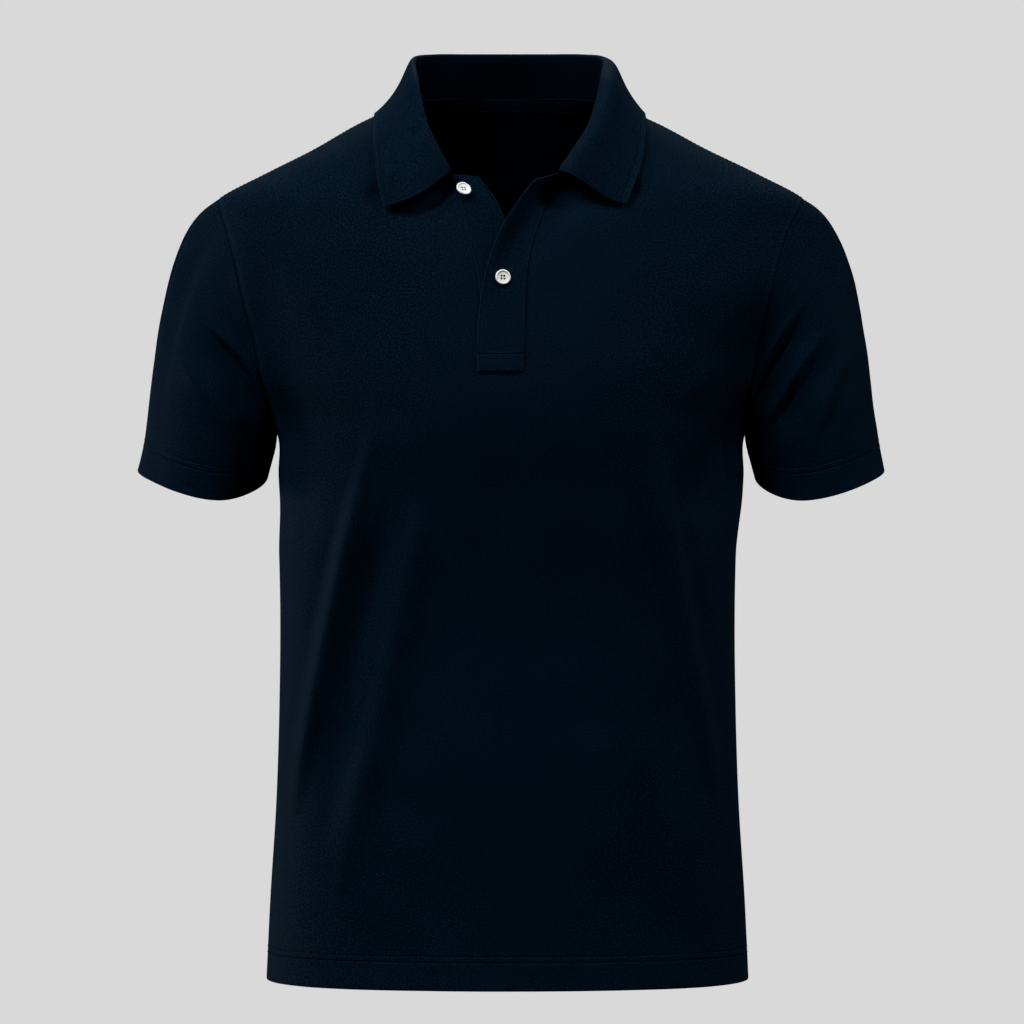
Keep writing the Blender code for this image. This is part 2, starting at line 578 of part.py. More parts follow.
# ---------------------------------------------------------------- buttons
def add_button(name, place, raised):
    """A turned disc with a raised rim and four holes, seated on a placket at (x, z)."""
    x, z = (np.array([value]) for value in place)
    seat = np.array([x[0], form_y(x, z, -1)[0] - raised, z[0]])
    outward = form_normal(x, z, -1)[0]
    lean = (form_y(x, z + 0.01, -1)[0] - form_y(x, z - 0.01, -1)[0]) / 0.02
    outward = unit(outward + np.array([0, 0, lean]))
    turned = [
        (0.0, 0.0), (BUTTON_RADIUS * 0.75, 0.0), (BUTTON_RADIUS, BUTTON_THICKNESS * 0.35),
        (BUTTON_RADIUS, BUTTON_THICKNESS * 0.75), (BUTTON_RADIUS - BUTTON_RIM * 0.4, BUTTON_THICKNESS),
        (BUTTON_RADIUS - BUTTON_RIM, BUTTON_THICKNESS - 0.0001),
        (BUTTON_RADIUS - BUTTON_RIM * 1.6, BUTTON_THICKNESS - BUTTON_DISH),
        (0.0, BUTTON_THICKNESS - BUTTON_DISH),
    ]
    shape = bmesh.new()
    ring = [shape.verts.new((radius, 0, height)) for radius, height in turned]
    edges = [shape.edges.new(pair) for pair in zip(ring, ring[1:])]
    bmesh.ops.spin(shape, geom=ring + edges, axis=(0, 0, 1), cent=(0, 0, 0), steps=24, angle=2 * math.pi)
    bmesh.ops.remove_doubles(shape, verts=shape.verts, dist=1e-6)
    bmesh.ops.recalc_face_normals(shape, faces=shape.faces)
    mesh = bpy.data.meshes.new(name)
    shape.to_mesh(mesh)
    shape.free()
    drills = bmesh.new()
    for quarter in range(4):
        angle = math.radians(45 + 90 * quarter)
        made = bmesh.ops.create_cone(drills, cap_ends=True, segments=10, radius1=BUTTON_HOLE_RADIUS,
                                     radius2=BUTTON_HOLE_RADIUS, depth=4 * BUTTON_THICKNESS)
        place_at = (BUTTON_HOLE_CIRCLE * math.cos(angle), BUTTON_HOLE_CIRCLE * math.sin(angle), 0)
        bmesh.ops.translate(drills, verts=made["verts"], vec=place_at)
    drill_mesh = bpy.data.meshes.new(name + " drills")
    drills.to_mesh(drill_mesh)
    drills.free()
    button = add_object(name, mesh, "button")
    cutter = bpy.data.objects.new(name + " drills", drill_mesh)
    bpy.context.collection.objects.link(cutter)
    cutter.hide_render = True
    cutter.display_type = "WIRE"
    cut = button.modifiers.new("holes", "BOOLEAN")
    cut.operation = "DIFFERENCE"
    cut.object = cutter
    flat = math.atan2(outward[0], -outward[1])
    pitch = math.asin(outward[2])
    for thing in (button, cutter):
        thing.location = seat + outward * SEAM
        thing.rotation_euler = (math.pi / 2 - pitch, 0, flat)


def main():
    for old in list(bpy.data.objects):
        bpy.data.objects.remove(old, do_unlink=True)
    front = add_front()
    back, back_normals = add_back()
    add_sleeve("sleeve_right", -1, front, back, RIGHT_SLEEVE_FOLDS)
    add_sleeve("sleeve_left", 1, front, back, LEFT_SLEEVE_FOLDS)
    add_collar(front, back)
    add_plackets()
    add_neck_tape(back, back_normals)
    add_button("button_top", TOP_BUTTON, SEAM / 2)
    add_button("button_second", SECOND_BUTTON, SEAM + PLACKET_CLOTH + SEAM)


main()
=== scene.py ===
# %% [markdown]
# # A navy pique polo shirt, filled out as when worn
# The shirt is cut and sewn from a front, a back, two sleeves, a folded knit collar, two placket strips
# and a tape over the back neck seam, and it closes with two buttons. Each of those is a piece here too.
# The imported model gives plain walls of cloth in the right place. This lesson makes each piece again on
# the same form, with a finer grid, its creases, hems and stitches, and then gives it its cloth.

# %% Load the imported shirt
import math

import bmesh
import bpy
import numpy as np
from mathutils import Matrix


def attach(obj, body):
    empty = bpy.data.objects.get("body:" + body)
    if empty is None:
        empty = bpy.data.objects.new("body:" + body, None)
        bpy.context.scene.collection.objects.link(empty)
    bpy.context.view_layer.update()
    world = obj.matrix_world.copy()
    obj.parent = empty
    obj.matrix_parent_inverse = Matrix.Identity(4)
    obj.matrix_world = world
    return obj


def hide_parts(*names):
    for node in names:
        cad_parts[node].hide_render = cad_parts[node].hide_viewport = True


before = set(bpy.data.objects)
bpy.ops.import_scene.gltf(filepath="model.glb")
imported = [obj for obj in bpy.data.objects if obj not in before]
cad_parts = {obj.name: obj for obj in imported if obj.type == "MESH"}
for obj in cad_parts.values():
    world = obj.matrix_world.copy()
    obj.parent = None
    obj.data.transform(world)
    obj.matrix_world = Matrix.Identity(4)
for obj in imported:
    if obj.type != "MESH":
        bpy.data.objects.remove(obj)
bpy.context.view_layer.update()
print("nodes:", ", ".join(sorted(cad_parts)))

# %% [markdown]
# ## The camera
# A garment is shot from far off with a long lens, so that the sleeves don't look larger than the chest.
# A camera 3.6 m away with a 156 mm lens, level and at half the height of the shirt, keeps every
# upright edge upright.

# %% Place the camera
CAMERA_PLACE = (0.00365, -3.6, -0.334)
CAMERA_LENS = 156.25       # millimetres, before a sensor 36 mm wide


def add_object(name, data):
    """A new object in the scene."""
    thing = bpy.data.objects.new(name, data)
    bpy.context.collection.objects.link(thing)
    return thing


camera = add_object("camera", bpy.data.cameras.new("camera"))
camera.data.sensor_width = 36
camera.data.lens = CAMERA_LENS
camera.location = CAMERA_PLACE
camera.rotation_euler = (math.pi / 2, 0, 0)
bpy.context.scene.camera = camera
print("camera at", tuple(round(c, 3) for c in camera.location))

# %% [markdown]
# ## The studio
# The floor and the backdrop are one pale sweep: a round floor that curves up into a wall on all sides,
# so no corner shows from any angle. Dark cloth is hard to light, because a bright room washes it out.
# The sweep therefore glows evenly for the camera and lights nothing, and soft lamps alone shape the
# cloth. Standard colour keeps the sweep's grey as it is set.

# %% Build the sweep
SWEEP_TURNS = 96
SWEEP_BEND_RINGS = 16
SWEEP_MIDDLE = 0.02        # radius of the innermost ring
SWEEP_FLAT = 4.5           # radius of the flat floor
SWEEP_BEND = 1.5           # radius of the curve from the floor up to the wall
SWEEP_WALL = 5.0
SWEEP_FLOOR_Z = -0.95
SWEEP_GREY = 0.694


def new_material(name):
    """A material made of nodes, and the shader in it."""
    material = bpy.data.materials.new(name)
    material.use_nodes = True
    return material, material.node_tree.nodes["Principled BSDF"]


def set_inputs(node, values):
    for socket, value in values.items():
        node.inputs[socket].default_value = value


def round_quads(number):
    """Quads between the rows of a grid of point numbers that closes round on itself."""
    beside = np.roll(number, -1, 1)
    return np.stack([number[:-1], beside[:-1], beside[1:], number[1:]], -1)


def add_sweep():
    bend = np.linspace(0, math.pi / 2, SWEEP_BEND_RINGS)
    radii = np.concatenate([[SWEEP_MIDDLE], SWEEP_FLAT + SWEEP_BEND * np.sin(bend),
                            [SWEEP_FLAT + SWEEP_BEND]])
    heights = np.concatenate([[0.0], SWEEP_BEND - SWEEP_BEND * np.cos(bend), [SWEEP_WALL]]) + SWEEP_FLOOR_Z
    angles = np.linspace(0, 2 * math.pi, SWEEP_TURNS, endpoint=False)
    points = [(r * math.cos(a), r * math.sin(a), z) for r, z in zip(radii, heights) for a in angles]
    number = np.arange(len(points)).reshape(-1, SWEEP_TURNS)
    faces = round_quads(number).reshape(-1, 4).tolist()
    faces.append(number[0, ::-1].tolist())
    mesh = bpy.data.meshes.new("sweep")
    mesh.from_pydata(points, [], faces)
    mesh.shade_smooth()
    sweep = add_object("sweep", mesh)
    sweep.visible_diffuse = sweep.visible_glossy = sweep.visible_transmission = sweep.visible_shadow = False
    pale, shader = new_material("pale sweep")
    set_inputs(shader, {"Base Color": (0, 0, 0, 1), "Specular IOR Level": 0,
                        "Emission Color": (SWEEP_GREY, SWEEP_GREY, SWEEP_GREY, 1), "Emission Strength": 1})
    mesh.materials.append(pale)
    return sweep


sweep = add_sweep()
print("sweep faces:", len(sweep.data.polygons))

# %% [markdown]
# A broad soft key from the front left models the chest and the sleeves, a weaker fill from the right
# keeps the other side readable, and a lamp above and behind draws the shoulders and the collar.

# %% Hang the lamps
LAMPS = [  # name, x, y, z, size, watts
    ("key", -2.6, -2.4, 2.1, 1.0, 54.0),
    ("high key", -1.4, -2.4, 3.0, 0.9, 82.0),
    ("left side", -2.9, -1.2, 2.9, 1.1, 56.0),
    ("right side", 3.1, -1.3, 2.3, 1.1, 52.0),
    ("high right", 2.0, -1.4, 2.6, 1.2, 34.0),
    ("left edge", -2.6, 1.0, -0.6, 1.2, 34.0),
    ("right edge", 2.6, 1.0, -0.6, 1.2, 6.0),
    ("top", 0.0, 1.6, 2.2, 1.6, 30.0),
]
LAMP_AIM = (0.0, 0.0, -0.25)
ROOM_COLOUR = (0.5, 0.52, 0.55, 1)
ROOM_GLOW = 0.02


def add_lamp(name, x, y, z, size, watts):
    """A soft round lamp that points at the middle of the shirt."""
    light = bpy.data.lights.new(name, "AREA")
    light.shape = "DISK"
    light.size = size
    light.energy = watts
    lamp = add_object(name, light)
    lamp.location = (x, y, z)
    aim = np.array(LAMP_AIM) - (x, y, z)
    level = math.hypot(aim[0], aim[1])
    lamp.rotation_euler = (math.atan2(level, -aim[2]), 0, math.atan2(aim[1], aim[0]) - math.pi / 2)


for row in LAMPS:
    add_lamp(*row)
world = bpy.data.worlds.new("room")
world.use_nodes = True
set_inputs(world.node_tree.nodes["Background"], {"Color": ROOM_COLOUR, "Strength": ROOM_GLOW})
bpy.context.scene.world = world
bpy.context.scene.view_settings.view_transform = "Standard"
bpy.context.scene.view_settings.look = "None"
print("lamps:", len(LAMPS))

# %% [markdown]
# ## Writing materials as sums
# A material is a small calculation that runs at each point of a surface. Drawn as nodes it soon looks
# like a map of an underground railway, so here one short class wraps a node's output. Sums on it add
# Math nodes, and any other node comes from its one method.

# %% A wire that can be used in sums
class Wire:
    """One output of a node. Sums on it add Math nodes, and node() adds any other kind."""

    def __init__(self, tree, socket=None):
        self.tree = tree
        self.socket = socket

    def node(self, kind, settings=None, inputs=None, output=0):
        made = self.tree.nodes.new(kind)
        for key, value in (settings or {}).items():
            setattr(made, key, value)
        for key, value in (inputs or {}).items():
            if isinstance(value, Wire):
                self.tree.links.new(value.socket, made.inputs[key])
            else:
                made.inputs[key].default_value = value
        return Wire(self.tree, made.outputs[output])

    def sum(self, operation, *values, clamped=False):
        settings = {"operation": operation, "use_clamp": clamped}
        return self.node("ShaderNodeMath", settings, dict(enumerate(values)))

    def __add__(self, other):
        return self.sum("ADD", self, other)

    def __radd__(self, other):
        return self.sum("ADD", other, self)

    def __sub__(self, other):
        return self.sum("SUBTRACT", self, other)

    def __rsub__(self, other):
        return self.sum("SUBTRACT", other, self)

    def __mul__(self, other):
        return self.sum("MULTIPLY", self, other)

    def __rmul__(self, other):
        return self.sum("MULTIPLY", other, self)

    def __truediv__(self, other):
        return self.sum("DIVIDE", self, other)


print("a wire can be added, taken away, multiplied and divided")

# %% [markdown]
# Some helpers serve every cloth. A `pulse` is 1 on a line and falls to 0 on both sides of it, which is
# how a needle row or a pressed seam dips. `ridges` is a wave, for ribs and for twisted yarn. `blend`
# mixes two colours, because a Math node would turn them grey.

# %% Pulses, ridges and colour blends
def pulse(distance, place, half):
    """1 where distance is at place, falling smoothly to 0 at half to either side."""
    offset = (distance - place) / half
    near = 1 - offset.sum("ABSOLUTE", offset)
    near = near.sum("MAXIMUM", near, 0)
    return near * near * (3 - 2 * near)


def ridges(along, spacing):
    """A wave between 0 and 1 that comes again at every spacing."""
    turn = along * (2 * math.pi / spacing)
    return 0.5 + 0.5 * turn.sum("SINE", turn)


def clamp(share):
    return share.sum("ADD", share, 0.0, clamped=True)


def blend(share, first, second):
    mix = {"data_type": "RGBA", "blend_type": "MIX", "clamp_factor": True}
    return share.node("ShaderNodeMix", mix, {0: share, 6: first, 7: second}, output=2)


def noise(coords, scale, detail, roughness=0.5):
    sockets = {"Vector": coords, "Scale": scale, "Detail": detail, "Roughness": roughness}
    return coords.node("ShaderNodeTexNoise", None, sockets)


def cloth_place(wire, name):
    """Coordinates in metres that are kept on each point of a piece: "cloth" or "seams"."""
    return wire.node("ShaderNodeAttribute", {"attribute_name": name}, output=1)


def split(vector):
    return [vector.node("ShaderNodeSeparateXYZ", None, {0: vector}, output=i) for i in range(3)]


print("helpers: pulse, ridges, clamp, blend, noise, cloth_place, split")

# %% [markdown]
# ## Pique
# Pique is a knit with small raised cells in offset rows, like a fine honeycomb. It could be a picture
# wrapped round the shirt, but cells made from two crossing waves stay sharp at any distance and need
# no unwrapping: they read the cloth's own flat coordinates. Cotton is never quite even, so a cloudy
# noise shifts the dye a little and a fine one speckles it with lint.

# %% The dye and the finish of a cloth
NAVY = (0.0001, 0.0020, 0.0052, 1)
NAVY_LIGHT = (0.0021, 0.0098, 0.0205, 1)
# painted highlight and wear: a lighter navy for folded edges and pressed seams, where they are rubbed and
# where they catch the light
WEAR_AND_HIGHLIGHT_NAVY = (0.0040, 0.0150, 0.0290, 1)     # folded edges that have been rubbed and washed
# painted shade, a deeper navy for the collar stand
PAINTED_SHADE = (0.0001, 0.0011, 0.0030, 1)
DYE_MIDDLE = 0.34      # share of the lighter navy where nothing shifts it
CLOUD_SHIFT = 0.25     # and how far clouds, lint and cells shift it
LINT_SHIFT = 4.6
CELL_SHIFT = 0.80
MATT = 0.75            # roughness of cloth
BLOOM = 0.004          # its sheen
CELL = 0.0017          # width of a pique cell
CELL_SLANT = 0.62


def dye(coords, depth, light, cells, wear_and_highlight):
    """Base colour: cloudy dye, fine lint, the tops of the cells a little paler, and edges lightened for wear
    and as painted highlight.
    """
    cloud = noise(coords, 22.0, 3.0, 0.6)
    lint = noise(coords, 640.0, 2.0, 0.75)
    share = CLOUD_SHIFT * cloud + LINT_SHIFT * (lint - 0.5) + CELL_SHIFT * (cells - 0.5) + DYE_MIDDLE
    return blend(wear_and_highlight, blend(clamp(share), depth, light), WEAR_AND_HIGHLIGHT_NAVY)


def pique_cells(coords):
    """Height of the knit, 0 to 1: two waves that cross at a slant."""
    u, v, _ = split(coords)
    first = (u + v * CELL_SLANT) * (2 * math.pi / CELL)
    second = (u - v * CELL_SLANT) * (2 * math.pi / CELL)
    return 0.5 + 0.25 * (first.sum("SINE", first) + second.sum("SINE", second))


def finish_cloth(name, depth, light, height_of, roughness=MATT, sheen=BLOOM, painted_shade_of=None):
    """A matt cloth with a soft bloom. height_of gives its cells, its relief in metres and its edges lightened
    for wear and as painted highlight.
    """
    cloth, shader = new_material(name)
    coords = cloth_place(Wire(cloth.node_tree), "cloth")
    cells, relief, wear_and_highlight = height_of(coords)
    colour = dye(coords, depth, light, cells, wear_and_highlight)
    # painted shade, blended in where a piece asks for it
    if painted_shade_of is not None:
        colour = blend(painted_shade_of(coords), colour, PAINTED_SHADE)
    bump = coords.node("ShaderNodeBump", None, {"Strength": 1.0, "Distance": 1.0, "Height": relief})
    cloth.node_tree.links.new(colour.socket, shader.inputs["Base Color"])
    cloth.node_tree.links.new(bump.socket, shader.inputs["Normal"])
    set_inputs(shader, {"Roughness": roughness, "Specular IOR Level": 0.02,
                        "Specular Tint": (0.25, 0.55, 1.0, 1), "Sheen Weight": sheen,
                        "Sheen Roughness": 0.45, "Sheen Tint": (0.35, 0.60, 1.0, 1)})
    return cloth


print("pique cells are", CELL * 1000, "mm wide")

# %% [markdown]
# The needle rows of the hems and the pressed seam edges are read from a second set of coordinates, the
# distances to each seam. Each row of a table here is one dip: which distance it follows, where it lies,
# how deep it is and how wide to either side.

# %% The pique cloth
CELL_RELIEF = 0.00020
NEEDLE_ROWS = (0.0220, 0.0268)   # heights of the twin needle rows above a hem
SEAM_ROW = 0.0056                # from an armhole or shoulder seam to the needle row beside it
PLACKET_ROW = 0.0028             # from a placket's long edge to its needle row
PLACKET_FOOT_ROW = 0.0018        # from its lower end to the lowest row


def dipped(relief, dips):
    for distance, place, depth, half in dips:
        relief = relief - depth * pulse(distance, place, half)
    return relief


def pique_height(coords):
    cells = pique_cells(coords)
    hem, armhole, shoulder = split(cloth_place(coords, "seams"))
    relief = dipped(CELL_RELIEF * cells + 0.00012 * noise(coords, 300.0, 2.0), [
        (hem, NEEDLE_ROWS[0], 0.00100, 0.0013),
        (hem, NEEDLE_ROWS[1], 0.00045, 0.0013),
        (armhole, SEAM_ROW, 0.00030, 0.0012),
        (armhole, 0.0, 0.00090, 0.0015),
        (shoulder, SEAM_ROW, 0.00025, 0.0012),
        (shoulder, 0.0, 0.00050, 0.0012),
    ])
    # painted highlight and wear: lighter along the pressed line beside each armhole and shoulder seam, and at
    # the hem's fold
    pressed_and_highlit_seams = pulse(armhole, 0.0034, 0.0018) + pulse(shoulder, 0.0034, 0.0018)
    return cells, relief, 0.35 * pulse(hem, 0.0, 0.0010) + 0.30 * pressed_and_highlit_seams


def placket_height(coords):
    cells = pique_cells(coords)
    left, right, low = split(cloth_place(coords, "seams"))
    relief = dipped(CELL_RELIEF * cells + 0.00018 * noise(coords, 260.0, 2.0), [
        (left, PLACKET_ROW, 0.00040, 0.0011),
        (right, PLACKET_ROW, 0.00040, 0.0011),
        (low, 0.0136, 0.00055, 0.0011),
        (low, PLACKET_FOOT_ROW, 0.00030, 0.0009),
    ])
    # painted highlight and wear: lighter along both long edges of a strip, and a little near its lower end
    rubbed_and_highlit_edges = pulse(left, 0.0, 0.0011) + pulse(right, 0.0, 0.0011)
    return cells, relief, 0.8 * rubbed_and_highlit_edges + 0.10 * pulse(low, 0.0075, 0.0060)


pique = finish_cloth("pique", NAVY, NAVY_LIGHT, pique_height)
# painted shade: the inside faces are dyed a darker navy than the outside, for the shade inside the shirt
inside_pique_painted_shade = finish_cloth("inside pique painted shade", (0.0001, 0.0008, 0.0026, 1), (0.0003, 0.0018, 0.0050, 1),
                            pique_height, roughness=0.9, sheen=0.0)
placket_pique = finish_cloth("placket pique", NAVY, NAVY_LIGHT, placket_height)
print("materials:", pique.name, inside_pique_painted_shade.name, placket_pique.name)

# %% [markdown]
# ## Collar knit, tape and thread
# The collar is a flat-knit rib: fine ridges that run from the neck seam to the outer edge. Its edge has
# a welt, a firmer border that is set off by a thin sunken line.

# %% The collar knit, the tape and the thread
RIB = 0.0012           # spacing of the collar's ribs
WELT = 0.0052          # width of its border
TWILL = 0.0016         # spacing of the tape's slanting ridges
TWIST = 0.0006         # spacing of the turns in the thread


def rib_height(coords):
    u, _, edge = split(coords)
    _, front_end, _ = split(cloth_place(coords, "seams"))
    cells = ridges(u, RIB)
    relief = 0.00010 * cells + 0.00012 * noise(coords, 380.0, 2.0) - 0.00050 * pulse(edge, WELT, 0.0012)
    # painted highlight and wear: lighter across the welt, at the outer edge and at the front ends
    wear_and_highlight = 0.30 * pulse(edge, 0.0, WELT) + 0.55 * pulse(edge, 0.0, 0.0010)
    return cells, relief, wear_and_highlight + 0.60 * pulse(front_end, 0.0, 0.0011)


def stand_painted_shade(coords):
    """Painted shade: the stand is coloured a deeper navy up to the fold, fading out round it, for the shade
    it lies in.
    """
    stage, _, _ = split(cloth_place(coords, "seams"))      # 0 at the neck seam, 1 under the fold, 2 past it
    return clamp((1.55 - stage) / 0.75)


def tape_height(coords):
    u, v, _ = split(coords)
    cells = ridges(u + v, TWILL)
    # painted highlight and wear: lighter along the tape's lower edge
    return cells, 0.00008 * cells, 0.5 * pulse(v, 0.0, 0.0014)


def thread_height(coords):
    u, v, _ = split(coords)
    cells = ridges(u + v * 0.5, TWIST)
    return cells, 0.00003 * cells, 0.0 * cells


# the collar's stand carries painted shade
collar_knit = finish_cloth("collar knit", NAVY, NAVY_LIGHT, rib_height, painted_shade_of=stand_painted_shade)
tape_cloth = finish_cloth("neck tape", (0.0002, 0.0019, 0.0045, 1), (0.0010, 0.0045, 0.0100, 1),
                          tape_height, roughness=0.7)
thread = finish_cloth("thread", (0.0025, 0.0100, 0.0195, 1), (0.0070, 0.0230, 0.0410, 1),
                      thread_height, roughness=0.5)
print("materials:", collar_knit.name, tape_cloth.name, thread.name)

# %% [markdown]
# ## The form
# All the cloth lies on one form. A torso's level sections are neither ovals nor boxes: a superellipse
# sits between them, and its power sets how square the section is. A short table from hem to neck gives
# the half width, the depths in front and behind, and that power, and a smooth curve fills in between.

# %% Sizes and tables, in metres
CLOTH = 0.0014             # thicknesses: one layer of pique, a turned hem, collar knit, placket and tape
HEM_CLOTH = 0.0022
COLLAR_CLOTH = 0.0018
PLACKET_CLOTH = 0.0016
TAPE_CLOTH = 0.0009
SEAM = 0.0003              # room between two pieces that are sewn together
ARMHOLE_SEAM = 0.0004
HEM_Z = -0.711
UNDERARM_Z = -0.272
SLIT_Z = -0.2232           # bottom of the placket slit
SHOULDER_X = 0.2373        # outer end of the shoulder seam
SHOULDER_Z = -0.0813
NECK_X = 0.078             # its inner end, the high shoulder point, is at height 0
BACK_NECK_Z = 0.0065
SWAY = 0.0030              # how far the shoulders and sleeves hang to the wearer's left,
SWAY_START_X = 0.08        # from here
SWAY_FULL_X = 0.20         # to here across the body
SWAY_START_Z = -0.37       # and from here
SWAY_FULL_Z = -0.32        # to here in height

FORM = [  # height, half width, front depth, back depth, squareness
    (-0.711, 0.1950, 0.114, 0.112, 2.30),
    (-0.648, 0.1920, 0.112, 0.109, 2.30),
    (-0.567, 0.1870, 0.109, 0.102, 2.30),
    (-0.486, 0.1845, 0.107, 0.095, 2.30),
    (-0.405, 0.1840, 0.109, 0.094, 2.30),
    (-0.344, 0.1858, 0.115, 0.101, 2.25),
    (-0.304, 0.1882, 0.119, 0.107, 2.20),
    (-0.272, 0.1890, 0.122, 0.111, 2.20),
    (-0.258, 0.1951, 0.1225, 0.112, 2.12),
    (-0.230, 0.2163, 0.1220, 0.1135, 2.00),
    (-0.198, 0.2327, 0.1200, 0.1145, 1.93),
    (-0.163, 0.2482, 0.1155, 0.1135, 1.90),
    (-0.134, 0.2510, 0.1100, 0.1110, 1.93),
    (-0.1075, 0.2475, 0.1020, 0.1060, 1.98),
    (-0.0813, 0.2373, 0.0925, 0.0975, 2.04),
    (-0.061, 0.2000, 0.0848, 0.0893, 2.06),
    (-0.0408, 0.1590, 0.0775, 0.0800, 2.08),
    (-0.0205, 0.1222, 0.0690, 0.0700, 2.05),
    (0.000, 0.0780, 0.0590, 0.0590, 2.00),
    (0.009, 0.0630, 0.0540, 0.0550, 2.00),
    (0.020, 0.0480, 0.0500, 0.0500, 2.00),
]
ARMHOLE = [  # height, distance of the armhole seam from the middle on the wearer's right and left
    (-0.272, 0.1890, 0.1890),
    (-0.258, 0.1920, 0.1910),
    (-0.230, 0.2006, 0.1966),
    (-0.198, 0.2066, 0.2010),
    (-0.163, 0.2148, 0.2070),
    (-0.134, 0.2212, 0.2137),
    (-0.1075, 0.2288, 0.2226),
    (-0.0813, 0.2373, 0.2373),
]
SLIT = [  # height, left edge and right edge of the placket slit, which spreads towards the neck
    (-0.2232, -0.0212, 0.0117),
    (-0.180, -0.0213, 0.0131),
    (-0.155, -0.0228, 0.0138),
    (-0.136, -0.0265, 0.0160),
    (-0.120, -0.0308, 0.0195),
    (-0.105, -0.0347, 0.0245),
    (-0.088, -0.0392, 0.0305),
    (-0.069, -0.0432, 0.0395),
]
FRONT_NECKLINE = [  # distance from the middle, height: high shoulder point to placket
    (0.0780, 0.000),
    (0.0765, -0.012),
    (0.0725, -0.026),
    (0.0650, -0.041),
    (0.0545, -0.055),
    (0.0432, -0.069),
]
print("sections:", len(FORM), "armhole rows:", len(ARMHOLE), "slit rows:", len(SLIT))

# %% Read the tables along smooth curves
def smooth(at, keys, values):
    """Read a table column at any place, along a smooth curve through its rows."""
    keys = np.asarray(keys, float)
    values = np.asarray(values, float)
    slopes = np.gradient(values, keys)
    at = np.clip(at, keys[0], keys[-1])
    row = np.clip(np.searchsorted(keys, at) - 1, 0, len(keys) - 2)
    step = keys[row + 1] - keys[row]
    t = (at - keys[row]) / step
    rise = values[row + 1] - values[row]
    bend_in = slopes[row] * step - rise
    bend_out = rise - slopes[row + 1] * step
    return values[row] + t * rise + t * (1 - t) * ((1 - t) * bend_in + t * bend_out)


def column(table, index):
    """One column of a table, read against its first column."""
    columns = np.array(table, float).T
    return lambda at: smooth(at, columns[0], columns[index])


half_width, front_depth, back_depth, squareness = [column(FORM, i) for i in range(1, 5)]
armhole_right, armhole_left = [column(ARMHOLE, i) for i in (1, 2)]
slit_left, slit_right = [column(SLIT, i) for i in (1, 2)]
RIDGE_HEIGHTS = np.linspace(SHOULDER_Z, FORM[-1][0], 400)
print("half width at the chest:", round(float(half_width(-0.3)), 4))

# %% The form's surface
def ridge_z(x):
    """Height of the shoulder ridge at a distance from the middle."""
    return np.interp(-np.abs(x), -half_width(RIDGE_HEIGHTS), RIDGE_HEIGHTS)


def section(z, side):
    """Half width, depth and squareness at a height: side is -1 for the front and 1 for the back."""
    depth = front_depth(z) if side < 0 else back_depth(z)
    return half_width(z), depth, squareness(z)


def form_y(x, z, side):
    """Depth of the form at (x, z)."""
    width, depth, power = section(z, side)
    across = np.clip(np.abs(x) / width, 0, 1)
    return side * depth * (1 - across**power) ** (1 / power)


def form_normal(x, z, side):
    """Direction that points straight out of the form, level with the ground."""
    width, depth, power = section(z, side)
    nx = np.sign(x) * np.abs(x / width) ** (power - 1) / width
    ny = side * np.abs(form_y(x, z, side) / depth) ** (power - 1) / depth
    length = np.hypot(nx, ny)
    return np.stack([nx / length, ny / length, np.zeros_like(nx)], -1)


def unit(vectors):
    return vectors / np.linalg.norm(vectors, axis=-1, keepdims=True)


print("front depth at the chest:", round(float(form_y(np.array([0.0]), np.array([-0.3]), -1)[0]), 4))

# %% [markdown]
# ## Folds
# Cloth simulation makes folds of its own choosing. These have known places, so each one is a row in a
# table: a curve through three points, how wide it is and how far it rises or sinks. Big soft folds
# fall from the armpits, and fine ones lie on them, all of different lengths and depths.

# %% Tables of folds
FRONT_FOLDS = [  # x0, z0, x1, z1, x2, z2, half width, height
    (-0.103, -0.255, -0.142, -0.420, -0.176, -0.600, 0.0090, 0.0095),
    (-0.122, -0.300, -0.158, -0.440, -0.186, -0.580, 0.0090, -0.0022),
    (-0.086, -0.300, -0.120, -0.430, -0.150, -0.620, 0.0130, -0.0068),
    (-0.060, -0.290, -0.086, -0.440, -0.140, -0.655, 0.0130, 0.0062),
    (-0.052, -0.400, -0.075, -0.520, -0.105, -0.640, 0.0260, -0.0030),
    (0.112, -0.255, 0.134, -0.400, 0.174, -0.600, 0.0090, 0.0080),
    (0.130, -0.300, 0.150, -0.410, 0.184, -0.570, 0.0090, -0.0020),
    (0.096, -0.300, 0.116, -0.430, 0.144, -0.600, 0.0150, -0.0065),
    (0.082, -0.300, 0.094, -0.430, 0.120, -0.580, 0.0180, 0.0028),
    (-0.200, -0.100, -0.186, -0.225, -0.152, -0.370, 0.0190, -0.0064),
    (0.206, -0.150, 0.188, -0.240, 0.144, -0.385, 0.0200, -0.0115),
    (0.194, -0.248, 0.170, -0.295, 0.122, -0.352, 0.0160, -0.0065),
    (-0.152, -0.210, -0.136, -0.242, -0.112, -0.262, 0.0080, 0.0014),
    (0.172, -0.202, 0.152, -0.236, 0.126, -0.252, 0.0085, 0.0016),
    (0.060, -0.480, 0.085, -0.560, 0.080, -0.660, 0.0220, 0.0020),
    (-0.040, -0.520, -0.060, -0.600, -0.050, -0.690, 0.0260, -0.0018),
    (0.020, -0.300, 0.030, -0.380, 0.015, -0.450, 0.0280, 0.0014),
    (-0.170, -0.225, 0.000, -0.245, 0.170, -0.225, 0.0680, 0.0044),
    (-0.150, -0.405, 0.000, -0.425, 0.150, -0.405, 0.0650, -0.0020),
    (-0.200, -0.662, 0.010, -0.684, 0.210, -0.662, 0.0900, -0.0080),
    (0.080, -0.050, 0.035, -0.085, 0.006, -0.145, 0.0155, -0.0052),
    (0.115, -0.084, 0.062, -0.070, 0.010, -0.092, 0.0125, -0.0115),
    (-0.120, -0.090, -0.074, -0.070, -0.026, -0.080, 0.0140, -0.0120),
]
